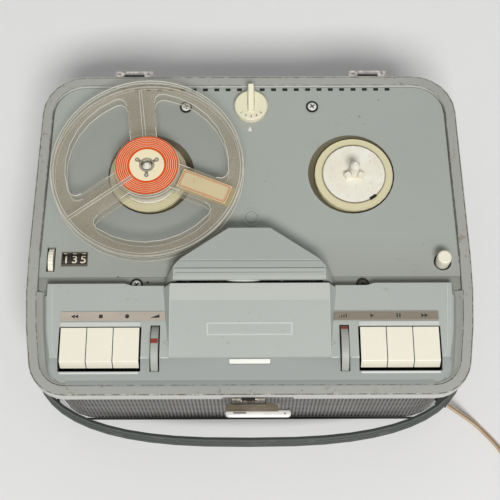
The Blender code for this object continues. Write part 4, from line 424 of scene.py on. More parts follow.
# Color, roughness, scale and depth of the grain, blotches, tint of the dirt, least noise for a speck
DIRT = (0.35, 0.30, 0.20)
PAINTS = {
    "case_covering": ((0.16, 0.17, 0.17), 0.7, 700, 0.0002, 0.08),
    "dark_plastic": ((0.022, 0.021, 0.020), 0.45, 900, 0.00004, 0.2),
    "rubber": ((0.025, 0.025, 0.024), 0.75, 600, 0.0001, 0.2),
    "paper": ((0.66, 0.56, 0.33), 0.75, 1600, 0.00003, 0.09, (0.7, 0.6, 0.4), 0.6),
    "milk_glass": ((0.83, 0.83, 0.76), 0.22, 400, 0.00002, 0.03),
    "thumbwheel_grey": ((0.40, 0.41, 0.38), 0.5, 900, 0.00003, 0.1),
    "motor_grey": ((0.20, 0.21, 0.23), 0.4, 160, 0.0003, 0.12),
    "speaker_steel": ((0.22, 0.22, 0.22), 0.45, 500, 0.00005, 0.1),
    "board_brown": ((0.27, 0.17, 0.07), 0.5, 300, 0.00004, 0.15),
    "cord_tan": ((0.50, 0.375, 0.245), 0.42, 500, 0.00003, 0.10, (0.5, 0.45, 0.4), 0.6),
    "cord_groove": ((0.24, 0.165, 0.10), 0.55, 500, 0.00003, 0.12),
    "plug_tan": ((0.40, 0.30, 0.20), 0.4, 500, 0.00004, 0.08),
    "print_dark": ((0.035, 0.032, 0.030), 0.5, 900, 0.00001, 0.2),
    "print_white": ((0.82, 0.82, 0.76), 0.45, 900, 0.00001, 0.05),
    "digit_cream": ((0.78, 0.69, 0.50), 0.45, 900, 0.00001, 0.06),
    "frame_brown": ((0.115, 0.098, 0.078), 0.5, 900, 0.00002, 0.2),
    # The next colour is a painted brown reflection on the latch lever's plating
    "plate_brown": ((0.080, 0.052, 0.012), 0.5, 120, 0.00004, 0.22, (0.4, 0.35, 0.25)),
    "ring_shade": ((0.27, 0.285, 0.262), 0.5, 900, 0.00001, 0.06),
    "screw_bright": ((0.74, 0.75, 0.70), 0.3, 700, 0.00003, 0.12),
    "screw_brown": ((0.075, 0.055, 0.038), 0.4, 700, 0.00003, 0.2),
    "middle_cream": ((0.95, 0.86, 0.585), 0.5, 900, 0.00002, 0.05),
    # The next colour is painted shade in the head cover's scored lines
    "score_grey": ((0.165, 0.172, 0.158), 0.5, 900, 0.00001, 0.08),
    "print_red": ((0.30, 0.040, 0.028), 0.5, 900, 0.00001, 0.12),
    "border_red": ((0.55, 0.085, 0.04), 0.6, 900, 0.00001, 0.12),
    "well_brown": ((0.155, 0.135, 0.085), 0.6, 300, 0.0001, 0.25),
    # The next colour is painted shade in holes, slots and gaps and under the grille; it also colours the
    # rim's chips
    "pit_black": ((0.010, 0.010, 0.009), 0.7, 300, 0.0001, 0.2),
    # The next colour is a painted highlight on the panel's lips, lines, arrows and the blank's border
    "panel_light": ((0.60, 0.625, 0.595), 0.32, 1400, 0.00001, 0.03),
    # The next colour is a painted highlight on the rim's outer lip; it also colours the strips' fine lines
    "rim_light": ((0.52, 0.52, 0.475), 0.4, 1200, 0.00002, 0.07, DIRT, 0.6),
    # The next colour is painted shade in the reel's slot arms and in the gap round the take-up disc
    "lobe_brown": ((0.26, 0.225, 0.175), 0.35, 500, 0.00004, 0.15),
}
# Color and opacity
GLASSY = {
    # The next is a painted highlight along the reel's moulded edges and tape guide
    "edge_plastic": ((0.94, 0.925, 0.85), 0.72),
    # The next is a painted highlight on the hub's rings and the slot arms' glints
    "hub_plastic": ((0.88, 0.82, 0.66), 0.62),
    "tape_clear": ((0.62, 0.56, 0.44), 0.30),
    "tape_yellow": ((0.60, 0.49, 0.26), 0.50),
}
# Color, the noise where the dirt and painted shade start and are full, and their opacity there
DIRT_AND_SHADE_LINES = {
    "grime_soft": ((0.14, 0.115, 0.085), 0.40, 0.62, 0.6),
    "seam_shade": ((0.16, 0.16, 0.14), 0.20, 0.60, 0.50),
}


def make_looks():
    made = [painted(name, *values) for name, values in PAINTS.items()]
    made += [glassy_look(name, *values) for name, values in GLASSY.items()]
    made += [dirt_and_shade_look(name, *values) for name, values in DIRT_AND_SHADE_LINES.items()]
    made += [deck_look(), panel_look(), rim_look(), grille_look(), key_look(), frosted_look(), clear_look()]
    # The second chrome is a copy with more of its painted reflection bright
    made += [label_look(), chrome_look("chrome", 0.40), chrome_look("chrome_bright", 0.28), iron_look()]
    made += [handle_look(), table_look(), lip_look(), hinge_look()]
    made.append(strip_look("strip_left", (0.49, 0.435, 0.365)))
    made.append(strip_look("strip_right", (0.26, 0.225, 0.175)))
    made.append(metal_look("steel", (0.55, 0.56, 0.57), 0.25, 0.42))
    made.append(metal_look("brass", (0.70, 0.52, 0.20), 0.2, 0.4))
    made.append(key_look("knob_cream", (0.86, 0.815, 0.61)))
    looks.update({look.name: look.material for look in made})


def painted(name, color, rough, grain, depth, blotch, dirt=DIRT, specks=0.66):
    """Plastic or paint with a fine grain, soft blotches, small dirt specks and uneven gloss."""
    look = Look(name, rough)
    base = look.cloudy(look.noise(9, 5), shade(color, 1 - blotch), shade(color, 1 + blotch))
    spots = look.mask(look.noise(260, 3, 0.6), specks, specks + 0.05)
    worn = look.mask(look.noise(34), 0.48, 0.75)
    dull = tuple(c * d for c, d in zip(color, dirt))
    look.color(look.mix(base, dull, look.times(look.times(spots, worn), 0.75)))
    look.rough(look.noise(22), rough - 0.07, rough + 0.09)
    look.bump(look.noise(grain, 2), depth)
    return look


def rim_look():
    """Warm grey, with painted light making it paler down its front."""
    look = painted("rim_grey", (0.385, 0.392, 0.358), 0.44, 1200, 0.00002, 0.06, (0.45, 0.33, 0.20), 0.60)
    front = look.below(look.facing("Y"), -0.5)
    look.color(look.mix(look.base(), (0.60, 0.605, 0.57), look.times(front, 0.8)))
    return look


def stripe(look, value, pitch):
    """How far a value is from the nearest whole multiple of the pitch, from 0.5 down to 0 halfway."""
    return look.size(look.minus(look.math("FRACT", look.math("DIVIDE", value, pitch)), 0.5))


def grille_look():
    """Pressed ribs crossed by rows of small holes, with painted shade in the grooves and holes and towards
    both ends.
    """
    look = Look("grille_metal", 0.42, 0.3)
    rib = stripe(look, look.axis("X"), 0.002886)
    groove = look.below(rib, 0.25)
    hole = look.times(groove, look.below(stripe(look, look.axis("Z"), 0.0150), 0.30))
    base = look.cloudy(look.noise(40), (0.200, 0.197, 0.185), (0.268, 0.264, 0.252))
    base = look.mix(base, (0.105, 0.100, 0.093), look.times(groove, 0.85))
    base = look.mix(base, (0.030, 0.028, 0.026), look.times(hole, 0.85))
    # Painted shade towards the grille's ends, where it turns round the corners
    ends = look.mask(look.size(look.axis("X")), 0.125, 0.155)
    look.color(look.mix(base, (0.13, 0.095, 0.06), look.times(look.times(ends, look.noise(30)), 0.6)))
    look.rough(look.noise(60, 3), 0.34, 0.55)
    look.bump(rib, 0.0002)
    return look


def frosted_look():
    look = Look("frosted_plastic", 0.3)
    cloud = look.noise(70, 5, 0.6)
    stops = (0.32, (0.84, 0.80, 0.66)), (0.6, (0.90, 0.88, 0.77)), (0.8, (0.96, 0.95, 0.87))
    base = look.ramp(cloud, *stops)
    spots = look.mask(look.noise(420, 3, 0.6), 0.62, 0.68)
    look.color(look.mix(base, (0.45, 0.40, 0.28), look.times(spots, 0.35)))
    look.rough(look.noise(120, 3), 0.2, 0.45)
    look.bump(look.noise(90, 3), 0.0002)
    look.inputs["Coat Weight"].default_value = 0.5
    return look


def clear_look():
    """Smoky clear plastic: the deck shows through it, painted light makes its edges paler, and its hub is
    clearest.
    """
    look = Look("clear_plastic", 0.16)
    edge = look.below(look.size(look.facing("Z")), 0.85)
    cloud = look.noise(28)
    base = look.mix(look.cloudy(cloud, (0.50, 0.445, 0.32), (0.62, 0.56, 0.42)), (0.70, 0.655, 0.54), edge)
    look.color(look.mix(base, (0.30, 0.24, 0.14), look.times(low_side(look), 0.55)))
    veil = look.plus(look.plus(look.times(cloud, 0.10), 0.12), look.times(edge, 0.20))
    look.see_through(look.times(veil, look.minus(1.0, look.times(hub_zone(look), 0.80))))
    look.rough(look.noise(45), 0.10, 0.30)
    look.bump(look.noise(30, 2), 0.0002)
    return look


def low_side(look):
    """0 over most of the reel, rising to 1 at its front."""
    return look.mask(look.minus(SUPPLY[1] + SHIFT_Y - 0.035, look.axis("Y")), 0.0, 0.045)


def hub_zone(look):
    """1 round the reel's hub, except in its three spokes."""
    x, y, reach = look.offset(SUPPLY)
    zone = look.below(reach, HUB_REACH)
    for degrees in SPOKES:
        c, s = axes(degrees)[0]
        along = look.plus(look.times(x, c), look.times(y, s))
        across = look.minus(look.times(y, c), look.times(x, s))
        spoke = look.times(look.above(along, 0.0), look.below(look.size(across), SPOKE_HALF))
        zone = look.times(zone, look.minus(1.0, spoke))
    return zone


def glassy_look(name, color, alpha):
    """Pale moulded edges and rings of the clear plastic, their paleness a painted highlight."""
    look = Look(name, 0.15)
    cloud = look.noise(60)
    base = look.cloudy(cloud, shade(color, 0.9), shade(color, 1.06))
    look.color(look.mix(base, shade(color, 0.62), low_side(look)))
    look.see_through(look.plus(look.times(look.noise(35, 3), 0.5), alpha - 0.25))
    look.rough(cloud, 0.08, 0.25)
    look.bump(cloud, 0.00003)
    return look


def deck_look():
    """Smudged grey, painted a little darker and browner as shade in its step and near it, and as the reel's
    shadow under the reel.
    """
    look = painted("deck_grey", (0.398, 0.426, 0.394), 0.46, 1500, 0.00002, 0.03)
    smudge = look.mask(look.noise(16, 5, 0.7), 0.58, 0.80)
    base = look.mix(look.base(), (0.30, 0.31, 0.27), look.times(smudge, 0.28))
    # Painted shade on the deck near the step
    near = look.mask(look.minus(SHIFT_Y - 0.004, look.axis("Y")), 0.0, 0.036)
    base = look.mix(base, (0.325, 0.332, 0.300), look.times(near, 0.6))
    # The reel's painted shadow on the deck
    under = look.mask(look.minus(0.076, look.offset(SUPPLY)[2]), 0.0, 0.016)
    base = look.mix(base, (0.300, 0.312, 0.286), look.times(under, 0.6))
    # Painted shade in the step
    step = look.below(look.axis("Y"), SHIFT_Y - 0.0409)
    look.color(look.mix(base, (0.235, 0.232, 0.205), look.times(step, 0.62)))
    return look


# Where each of the head cover's front bands starts, and its color: painted light, paler towards the front,
# the last band the bullnose's painted highlight
COVER_LIGHT_BANDS = (
    (-0.0354, (0.410, 0.435, 0.405)),
    (-0.0412, (0.465, 0.490, 0.455)),
    (-0.0472, (0.515, 0.540, 0.503)),
)


def panel_look():
    """The front slope is duller than the level top, and painted shade makes it darker, as it does the valley
    and the cover's roof; painted light brightens the cover's front in bands.
    """
    look = painted("panel_grey", (0.452, 0.482, 0.450), 0.34, 1400, 0.00001, 0.025)
    back = look.axis("Y")
    slope = look.below(back, SHIFT_Y + CREASE_Y - 0.0002)
    base = look.mix(look.base(), (0.315, 0.337, 0.322), look.times(slope, 0.9))
    fall = look.times(look.minus(back, SHIFT_Y + CREASE_Y), SLOPE)
    raised = look.plus(look.math("MINIMUM", fall, 0.0), DECK + PANEL - 0.0011)
    valley = look.below(look.axis("Z"), raised)
    roof = look.above(look.axis("Z"), DECK + 0.0195)
    base = look.mix(base, (0.395, 0.420, 0.390), look.times(roof, 0.9))
    cover = look.above(look.axis("Z"), DECK + 0.0155)
    for start, color in COVER_LIGHT_BANDS:
        band = look.times(cover, look.below(back, SHIFT_Y + start))
        base = look.mix(base, color, look.times(band, 0.9))
    look.color(look.mix(base, (0.300, 0.312, 0.288), look.times(valley, 0.85)))
    gloss = look.inputs["Roughness"].links[0].from_socket
    look.wire(look.plus(gloss, look.times(slope, 0.42)), look.inputs["Roughness"])
    return look


def table_look():
    """Aged cream, with the pale spindle standing out of it."""
    look = key_look("cream_aged", (0.74, 0.685, 0.445))
    spindle = look.above(look.axis("Z"), DECK + 0.0008)
    look.color(look.mix(look.base(), (0.86, 0.84, 0.76), look.times(spindle, 0.85)))
    return look


def key_look(name="cream_plastic", color=(0.900, 0.862, 0.715)):
    """Ivory plastic, with painted highlights on the keys' bevelled edges. Its upright sides, down in the
    gaps, are dark with painted shade.
    """
    look = painted(name, color, 0.28, 1200, 0.000006, 0.022, (0.55, 0.48, 0.35), 0.70)
    side = look.size(look.facing("X"))
    keys = look.below(look.axis("Y"), SHIFT_Y - 0.060)
    edge = look.times(look.times(look.above(side, 0.25), keys), 0.8)
    gap = look.times(look.times(look.above(side, 0.97), keys), 0.94)
    look.color(look.mix(look.mix(look.base(), (0.97, 0.965, 0.93), edge), (0.05, 0.042, 0.033), gap))
    return look


def lip_look():
    """Polished plating, painted pale with a highlight all along."""
    look = Look("lip_bright", 0.22, 0.12)
    cloud = look.noise(70, 5, 0.7)
    streak = look.noise(120, 3, vector=look.scaled((0.3, 1, 1)))
    stops = (0.30, (0.50, 0.46, 0.40)), (0.40, (0.86, 0.85, 0.82)), (0.62, (0.97, 0.97, 0.95))
    base = look.ramp(cloud, *stops)
    look.color(look.mix(base, (0.62, 0.60, 0.56), look.mask(streak, 0.62, 0.8)))
    look.rough(cloud, 0.12, 0.34)
    look.bump(streak, 0.00001)
    return look


def hinge_look():
    """Plating gone cloudy and pinkish, with its bright reflections painted in as pale patches."""
    look = Look("hinge_highlight", 0.3, 0.30)
    cloud = look.noise(260, 5, 0.7)
    stops = (0.36, (0.26, 0.20, 0.175)), (0.48, (0.66, 0.585, 0.54)), (0.62, (0.93, 0.90, 0.83))
    base = look.ramp(cloud, *stops)
    look.color(look.mix(base, (0.16, 0.12, 0.10), look.mask(look.noise(700, 3), 0.64, 0.72)))
    look.rough(cloud, 0.22, 0.40)
    look.bump(cloud, 0.00003)
    return look


def dirt_and_shade_look(name, color, low, high, most):
    """Dirt and painted shade in a line, broken up by noise."""
    look = Look(name, 0.6)
    cloud = look.noise(180, 5, 0.65)
    look.color(look.cloudy(cloud, shade(color, 0.8), shade(color, 1.2)))
    look.see_through(look.times(look.mask(cloud, low, high), most))
    look.bump(cloud, 0.00002)
    return look


def chrome_look(name, worn):
    """Old chrome, clouded and pitted, with painted reflections: bright above, brown on faces turned to the
    front.
    """
    look = Look(name, 0.15, 1.0)
    front = look.below(look.facing("Y"), -0.6)
    front = look.times(front, look.above(look.axis("Z"), DECK - 0.0300))
    cloud = look.noise(85, 6, 0.7)
    tones = (0.30, 0.245, 0.19), (0.62, 0.58, 0.52), (0.92, 0.90, 0.87)
    bright = look.ramp(cloud, *zip((worn, worn + 0.12, worn + 0.22), tones))
    streaks = look.noise(60, 5, vector=look.scaled((1, 1, 0.4)))
    brown = look.ramp(streaks, (0.4, (0.13, 0.085, 0.04)), (0.62, (0.38, 0.28, 0.17)))
    pits = look.mask(look.noise(900, 2), 0.66, 0.72)
    look.color(look.mix(look.mix(bright, brown, front), (0.10, 0.065, 0.035), look.times(pits, 0.6)))
    look.rough(cloud, 0.06, 0.28)
    look.bump(look.noise(300, 3), 0.00002)
    return look


def label_look():
    """Orange print with thin cream rings and a plain cream middle."""
    look = Look("orange_label", 0.45)
    radius = look.offset(SUPPLY)[2]
    cloud = look.noise(150)
    orange = look.cloudy(cloud, (0.70, 0.075, 0.008), (0.78, 0.112, 0.013))
    cream = look.cloudy(cloud, (0.86, 0.77, 0.50), (0.93, 0.87, 0.64))
    line = look.below(stripe(look, look.minus(radius, 0.0150), 0.00150), 0.14)
    ringed = look.times(look.below(radius, 0.0240), look.above(radius, 0.0150))
    base = look.mix(orange, cream, look.times(look.times(line, ringed), 0.66))
    look.color(look.mix(base, cream, look.below(radius, 0.0136)))
    look.rough(look.noise(200, 3), 0.38, 0.6)
    look.bump(look.noise(1500, 2), 0.00002)
    look.inputs["Specular IOR Level"].default_value = 0.2
    return look


def strip_look(name, color):
    """A thin printed strip, brushed along its length and a little rubbed."""
    look = Look(name, 0.35)
    streaks = look.noise(300, vector=look.scaled((0.15, 1, 1)))
    base = look.cloudy(streaks, shade(color, 0.94), shade(color, 1.05))
    rubbed = look.mask(look.noise(120), 0.60, 0.8)
    look.color(look.mix(base, shade(color, 1.25), look.times(rubbed, 0.4)))
    look.rough(streaks, 0.28, 0.45)
    look.bump(streaks, 0.00001)
    return look


def metal_look(name, color, smooth_gloss, dull_gloss):
    look = Look(name, 0.2, 1.0)
    cloud = look.noise(55, 5, 0.6)
    pits = look.mask(look.noise(700, 2), 0.66, 0.72)
    base = look.cloudy(cloud, shade(color, 0.86), color)
    look.color(look.mix(base, (0.27, 0.198, 0.12), look.times(pits, 0.5)))
    look.rough(cloud, smooth_gloss, dull_gloss)
    look.bump(look.noise(300, 3), 0.00002)
    return look


def iron_look():
    """Stacked sheets with a varnish."""
    look = Look("core_iron", 0.5, 0.3)
    sheets = look.node("ShaderNodeTexWave", wave_type="BANDS", bands_direction="Z", wave_profile="SIN")
    look.wire(look.where, sheets.inputs["Vector"])
    sheets.inputs["Scale"].default_value = 160
    look.color(look.ramp(sheets.outputs["Fac"], (0.2, (0.10, 0.09, 0.08)), (0.8, (0.21, 0.19, 0.17))))
    look.rough(look.noise(90, 3), 0.35, 0.6)
    look.bump(sheets.outputs["Fac"], 0.0002)
    return look


def handle_look():
    look = Look("handle_plastic", 0.36)
    base = look.cloudy(look.noise(16, 5), (0.028, 0.036, 0.031), (0.045, 0.055, 0.049))
    scuffs = look.mask(look.noise(240, vector=look.scaled((0.3, 0.3, 1.4))), 0.62, 0.70)
    look.color(look.mix(base, (0.20, 0.21, 0.20), look.times(scuffs, 0.35)))
    look.rough(look.noise(50), 0.28, 0.46)
    look.bump(look.noise(900, 3), 0.00004)
    return look


# Camera, light and floor


def camera():
    data = bpy.data.cameras.new("photo_camera")
    data.sensor_width, data.lens = 36.0, 81.102
    data.shift_x, data.shift_y = -0.00074, -0.173
    data.clip_start, data.clip_end = 0.05, 20
    cam = link(bpy.data.objects.new("photo_camera", data))
    tilt = Matrix.Rotation(math.radians(90 - 65.155), 4, "X")
    roll = Matrix.Rotation(math.radians(-0.2), 4, "Z")
    cam.matrix_world = Matrix.Translation(place(0.0009, -0.3237, 0.8165)) @ tilt @ roll
    bpy.context.scene.camera = cam


def lights():
    world = bpy.data.worlds.new("studio")
    world.use_nodes = True
    back = world.node_tree.nodes["Background"].inputs
    back["Color"].default_value = (1, 1, 1, 1)
    back["Strength"].default_value = 0.25
    bpy.context.scene.world = world
    data = bpy.data.lights.new("key_light", "AREA")
    data.shape = "RECTANGLE"
    data.size, data.size_y = 1.18, 0.70
    data.energy, data.color = 75.5, (1.0, 0.995, 0.985)
    lamp = link(bpy.data.objects.new("key_light", data))
    spot, aim = Vector((0.24, -1.85, 2.50)), Vector((0, 0, 0.05))
    turn = (aim - spot).to_track_quat("-Z", "Y").to_matrix().to_4x4()
    lamp.matrix_world = Matrix.Translation(spot) @ turn


def floor():
    """A pale surface with a cove behind it, with painted light making it paler towards its back."""
    reach, bend = 1.2, 0.8
    curve = [(-3.0, 0.0), (reach, 0.0)]
    for i in range(1, 13):
        angle = math.radians(90 * i / 12)
        curve.append((reach + bend * math.sin(angle), bend - bend * math.cos(angle)))
    curve.append((reach + bend, 3.0))
    bm = bmesh.new()
    rows = [[bm.verts.new((x, y, z)) for y, z in curve] for x in (-3, 3)]
    for i in range(len(curve) - 1):
        bm.faces.new((rows[0][i], rows[1][i], rows[1][i + 1], rows[0][i + 1]))
    data = bpy.data.meshes.new("studio_floor")
    bm.to_mesh(data)
    bm.free()
    data.shade_smooth()
    look = Look("studio_white", 0.6)
    base = look.cloudy(look.noise(1.5, 3), (0.76, 0.76, 0.765), (0.80, 0.80, 0.80))
    look.color(look.mix(base, (0.90, 0.90, 0.90), look.mask(look.plus(look.axis("Y"), 0.45), 0.0, 1.0)))
    data.materials.append(look.material)
    plane = link(bpy.data.objects.new("studio_floor", data))


# Cord. Its route is the CAD's own, in points from the middle of the case.

CORD_RADIUS = 0.0019
CORD_LIFT = 0.0001
GAP = 0.0003
GLAND_DEGREES = -37
GLAND_LENGTH = 0.0090
GLAND_Z = 0.0155
CORNER_RADIUS = 0.042
BOW_RADIUS = 0.450
GRILLE_INSET = 0.0058
SIDE_X = 0.170
FRONT_Y = -0.1325
WIDEST_Y = -0.032
FALL = ((0.1704, -0.1245, 0.0130), (0.1774, -0.1276, 0.0075), (0.1841, -0.1314, 0.0032))
FLOOR_PLACES = ((0.1883, -0.1351), (0.1925, -0.1396), (0.1972, -0.1448), (0.2022, -0.1512), (0.2110, -0.1640))
COIL = (0.2420, -0.1520)
COIL_MIDDLE = 0.0220
COIL_PITCH = 0.0044
LAYERS = 4
TURNS = 2.5
POINTS_IN_TURN = 36
SPACING = 0.0040
PLUG_LEAD = 0.0400
PLUG_SWING = 0.0120
PLUG_HEIGHT = 0.0130


def gland_place():
    """The gland's frame on the wall's right front corner, whose centre the CAD works out in this way."""
    swing = BOW_RADIUS - CORNER_RADIUS
    turn = math.asin((WIDEST_Y - FRONT_Y - CORNER_RADIUS) / swing)
    x, y = SIDE_X - BOW_RADIUS + swing * math.cos(turn), FRONT_Y + CORNER_RADIUS
    reach = CORNER_RADIUS - GRILLE_INSET
    angle = math.radians(GLAND_DEGREES)
    spot = (x + reach * math.cos(angle), y + reach * math.sin(angle), GLAND_Z)
    return Matrix.Translation(spot) @ Matrix.Rotation(angle, 4, "Z")


def coil_point(turns):
    outer = COIL_MIDDLE + COIL_PITCH * TURNS / 2
    layer = min(int(turns / TURNS), LAYERS - 1)
    within = turns - layer * TURNS
    radius = outer - COIL_PITCH * (within if layer % 2 == 0 else TURNS - within)
    height = sum(min(max((turns - change * TURNS) * 2 + 0.5, 0.0), 1.0) for change in range(1, LAYERS))
    angle = -math.pi / 2 + 2 * math.pi * turns
    level = CORD_RADIUS + CORD_LIFT + COIL_PITCH * height
    return Vector((*arc(radius, [angle], COIL)[0], level))


def spline(points):
    """Evenly spaced points on a smooth curve; the first and last steps stay straight."""
    fine = []
    for p0, p1, p2, p3 in zip(points, points[1:], points[2:], points[3:]):
        for k in range(20):
            t = k / 20
            bend = 2 * p0 - 5 * p1 + 4 * p2 - p3
            fine.append(0.5 * (2 * p1 + (p2 - p0) * t + bend * t**2 + (3 * p1 - p0 - 3 * p2 + p3) * t**3))
    fine.append(points[-2])
    length = sum((b - a).length for a, b in zip(fine, fine[1:]))
    count = max(round(length / SPACING), 2)
    made, walked, target = [fine[0]], 0.0, length / count
    for a, b in zip(fine, fine[1:]):
        step = (b - a).length
        while walked + step >= target and len(made) < count:
            made.append(a.lerp(b, (target - walked) / step))
            target += length / count
        walked += step
    return [points[0], *made, points[-2], points[-1]]


def cord_path():
    start = GLAND_LENGTH + 2 * GAP
    out = [gland_place() @ Vector((start + lead, 0, 0)) for lead in (0, 2 * CORD_RADIUS)]
    fall = [Vector(p) for p in FALL]
    flat = [Vector((x, y, CORD_RADIUS + CORD_LIFT)) for x, y in FLOOR_PLACES]
    lead = Vector((2 * CORD_RADIUS, 0, 0))
    loops = [coil_point(i / POINTS_IN_TURN) for i in range(int(LAYERS * TURNS * POINTS_IN_TURN) + 1)]
    last = loops[0] - lead - Vector((GAP, 0, 0))
    run = spline([*out, *fall, *flat, last - lead, last])
    outer = COIL_MIDDLE + COIL_PITCH * TURNS / 2
    end = Vector((COIL[0] + PLUG_LEAD, COIL[1] - outer + PLUG_SWING / 2, PLUG_HEIGHT / 2 + GAP))
    halfway = (loops[-1] + end) / 2 + lead / 2
    tail = spline([loops[-1], loops[-1] + lead, halfway, end - lead, end])
    return [p + Vector((0, SHIFT_Y, 0)) for p in run + loops + tail[1:]]


def cord_section():
    """Two round cores side by side under one skin: a circle with a groove above and below."""
    made = []
    for i in range(20):
        groove = i in (5, 15)
        angle = 2 * math.pi * i / 20
        radius = CORD_RADIUS * (0.80 if groove else 1)
        made.append((radius * math.cos(angle), radius * math.sin(angle), groove))
    return made


def cord_rings(points, section):
    """The section's points round each point of the route, turned level wherever the route allows."""
    rings = []
    side = None
    for i, point in enumerate(points):
        along = (points[min(i + 1, len(points) - 1)] - points[max(i - 1, 0)]).normalized()
        level = along.cross(Vector((0, 0, 1)))
        if side is None:
            side = level.normalized()
        side = (side - along * side.dot(along)).normalized()
        if level.length > 0.3:
            side = side.lerp(level.normalized(), 0.35).normalized()
        up = side.cross(along)
        rings.append([point + side * a + up * b for a, b, _ in section])
    return rings


def cord():
    points = cord_path()
    section = cord_section()
    shape = Shape()
    shape.loft(cord_rings(points, section))
    shape.bm.faces.ensure_lookup_table()
    for i, face in enumerate(shape.bm.faces[: len(section) * (len(points) - 1)]):
        k = i % len(section)
        face.material_index = int(section[k][2] or section[(k + 1) % len(section)][2])
    obj = shape.made("mains_cord", ["cord_tan", "cord_groove"], soft=60, slot="cord_tan")
    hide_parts("cord_run", "cord_coil")
    tie = coil_tie()


def coil_tie():
    """A wire tie round one side of the coil."""
    half = COIL_PITCH * (TURNS / 2 + 0.9)
    high = COIL_PITCH * (LAYERS - 1) + 2 * CORD_RADIUS + 0.0008
    along, across = (v.to_3d() for v in axes(40))
    middle = Vector((COIL[0], COIL[1] + SHIFT_Y, (high + 0.0002) / 2))
    loops = []
    for grow, edge in ((0.0, -1), (0.0, 1), (0.0006, 1), (0.0006, -1)):
        loop = []
        for k in range(20):
            c, s = arc(1, [2 * math.pi * k / 20])[0]
            a = math.copysign(abs(c) ** 0.5, c) * (half + grow)
            b = math.copysign(abs(s) ** 0.5, s) * ((high - 0.0002) / 2 + (grow if s > 0 else 0))
            loop.append(middle + along * (COIL_MIDDLE + a) + across * 0.0016 * edge + Vector((0, 0, b)))
        loops.append(loop)
    return Shape().loft(loops, closed=True).made("cord_tie", "dark_plastic", soft=60, slot="dark_plastic")


# Case and deck


# Places of the rim's small dark chips
CHIPS = ((-0.1523, 0.1244), (-0.1620, 0.1104), (-0.1080, -0.1259), (0.1606, -0.0300), (0.0380, -0.1290))


def case_details():
    """Lips, seams and dark lines that follow the rim, with a painted highlight on the outer lip, a painted
    glint at its rear right and painted shade along the seams.
    """
    path = case_outline()
    # A painted highlight on the rim's outer lip
    moulding("rim_lip", path, lipped(0.0000, 0.0004, RIM - 0.0006, 0.00062), "rim_light")
    # Dark lines of dirt and painted shade near the rim's edge and in its seam, then painted shade along the
    # deck's border
    moulding("rim_dark_line", path, lipped(0.0005, 0.0006, RIM, FILM), "grime_soft")
    moulding("rim_seam", path, lipped(0.0079, 0.0006, RIM - 0.0002, 0.00025), "grime_soft", behind_step)
    moulding("deck_border_shade", path, lipped(0.0087, 0.0008, 0.0, FILM), "seam_shade", behind_step)
    fillet = [(0.0066, 0.0018), (0.0066, 0.00206), (0.0086, 0.00204), (0.0112, 0.00112), (0.0119, 0.00095)]
    moulding("panel_foot", path, [*fillet, (0.0119, 0.0002)], "panel_grey", before_panel)
    # A dark line of dirt and painted shade at the panel's foot
    moulding("panel_foot_dark_line", path, lipped(0.0074, 0.0006, RIM, 0.00009), "grime_soft", round_panel)
    fillet = [(0.0080, 0.0016), (0.0083, 0.00195), (0.0090, 0.0015), (0.0104, 0.0003), (0.0121, -0.0002)]
    moulding("panel_side_foot", path, [*fillet, (0.0121, -0.0012)], "rim_grey", round_panel)
    # A painted glint along the rim's rear right edge
    moulding("rim_glint", path, lipped(-0.0001, 0.0005, RIM - 0.0012, 0.0006), "lip_bright", rear_right)
    chips = Shape()
    for i, spot in enumerate(CHIPS):
        ragged = []
        for k, (x, y) in enumerate(circle(0.0006, 9, spot, i)):
            grow = 0.6 + 0.5 * math.sin(5.1 * k + i)
            ragged.append((spot[0] + (x - spot[0]) * grow, spot[1] + (y - spot[1]) * grow))
        chips.prism(ragged, RIM - 0.0001, RIM + FILM)
    chips.made("rim_chips", "pit_black")


def rear_right(point):
    return point.x > 0.02 and point.y > -0.09


def behind_step(point):
    return point.y > -0.041


def round_panel(point):
    return point.y < -0.045


def before_panel(point):
    return point.y < -0.112 and abs(point.x) < 0.142


def over_grille(point):
    return point.y < -0.108


def deck_details():
    # A black box under the vents, painting the shade inside them
    Shape().box((-0.1040, 0.1195, -0.0030), (0.1190, 0.1245, -0.0012)).made("vent_shade", "pit_black")
    for side, spot in (("left", SUPPLY), ("right", TAKEUP)):
        middle = (spot[0] + math.copysign(0.0022, -spot[0]), spot[1])
        rows = (
            (middle, 0.0342, -0.0007),
            (spot, 0.0315, -0.0050),
            (spot, 0.0317, -0.0150),
            (middle, 0.0342, -0.0150),
        )
        loops = [[place(x, y, up) for x, y in circle(radius, 72, centre)] for centre, radius, up in rows]
        Shape().loft(loops, closed=True).made("well_dish_" + side, "well_brown", soft=35)
        # Black floors deep in the wells, painting the shade there
        profile = ((0.0335, -0.0170), (0.0335, -0.0150), (0.0120, -0.0150), (0.0120, -0.0170))
        Shape().turned(middle, profile, 48, True).made("well_floor_" + side, "pit_black")
    screw("rear_left", (-0.0515, 0.1050), 0.0, 0.3, "screw_bright")
    screw("rear_right", (0.0515, 0.1050), 0.0, 0.55, "screw_bright")
    screw("front_left", (-0.0862, -0.0470), -0.0015, 0.7, "screw_bright")
    screw("front_right", (0.0862, -0.0470), -0.0015, 0.2, "screw_brown")
    # Black pin holes, painting the shade inside them
    holes = Shape().turned((-0.0777, -0.0447), ((0.0009, -0.0020), (0.0009, -0.0014)), 12)
    holes.turned((-0.1004, -0.0406), ((0.0005, -0.0010), (0.0005, 0.0001)), 10)
    holes.made("deck_pin_holes", "pit_black")
    mark = [(0.0007, 0.0879), (-0.0009, 0.0832), (0.0023, 0.0832)]
    Shape().prism(mark, 0.00001, 0.00005).made("knob_mark", "print_white")
    boss = (0.0016, 0.0083)
    rings = Shape().ring(boss, 0.0072, 0.0001, 0.0003, 48).ring(boss, 0.0045, 0.0001, 0.00025, 48)
    rings.made("boss_rings", "ring_shade", soft=35)


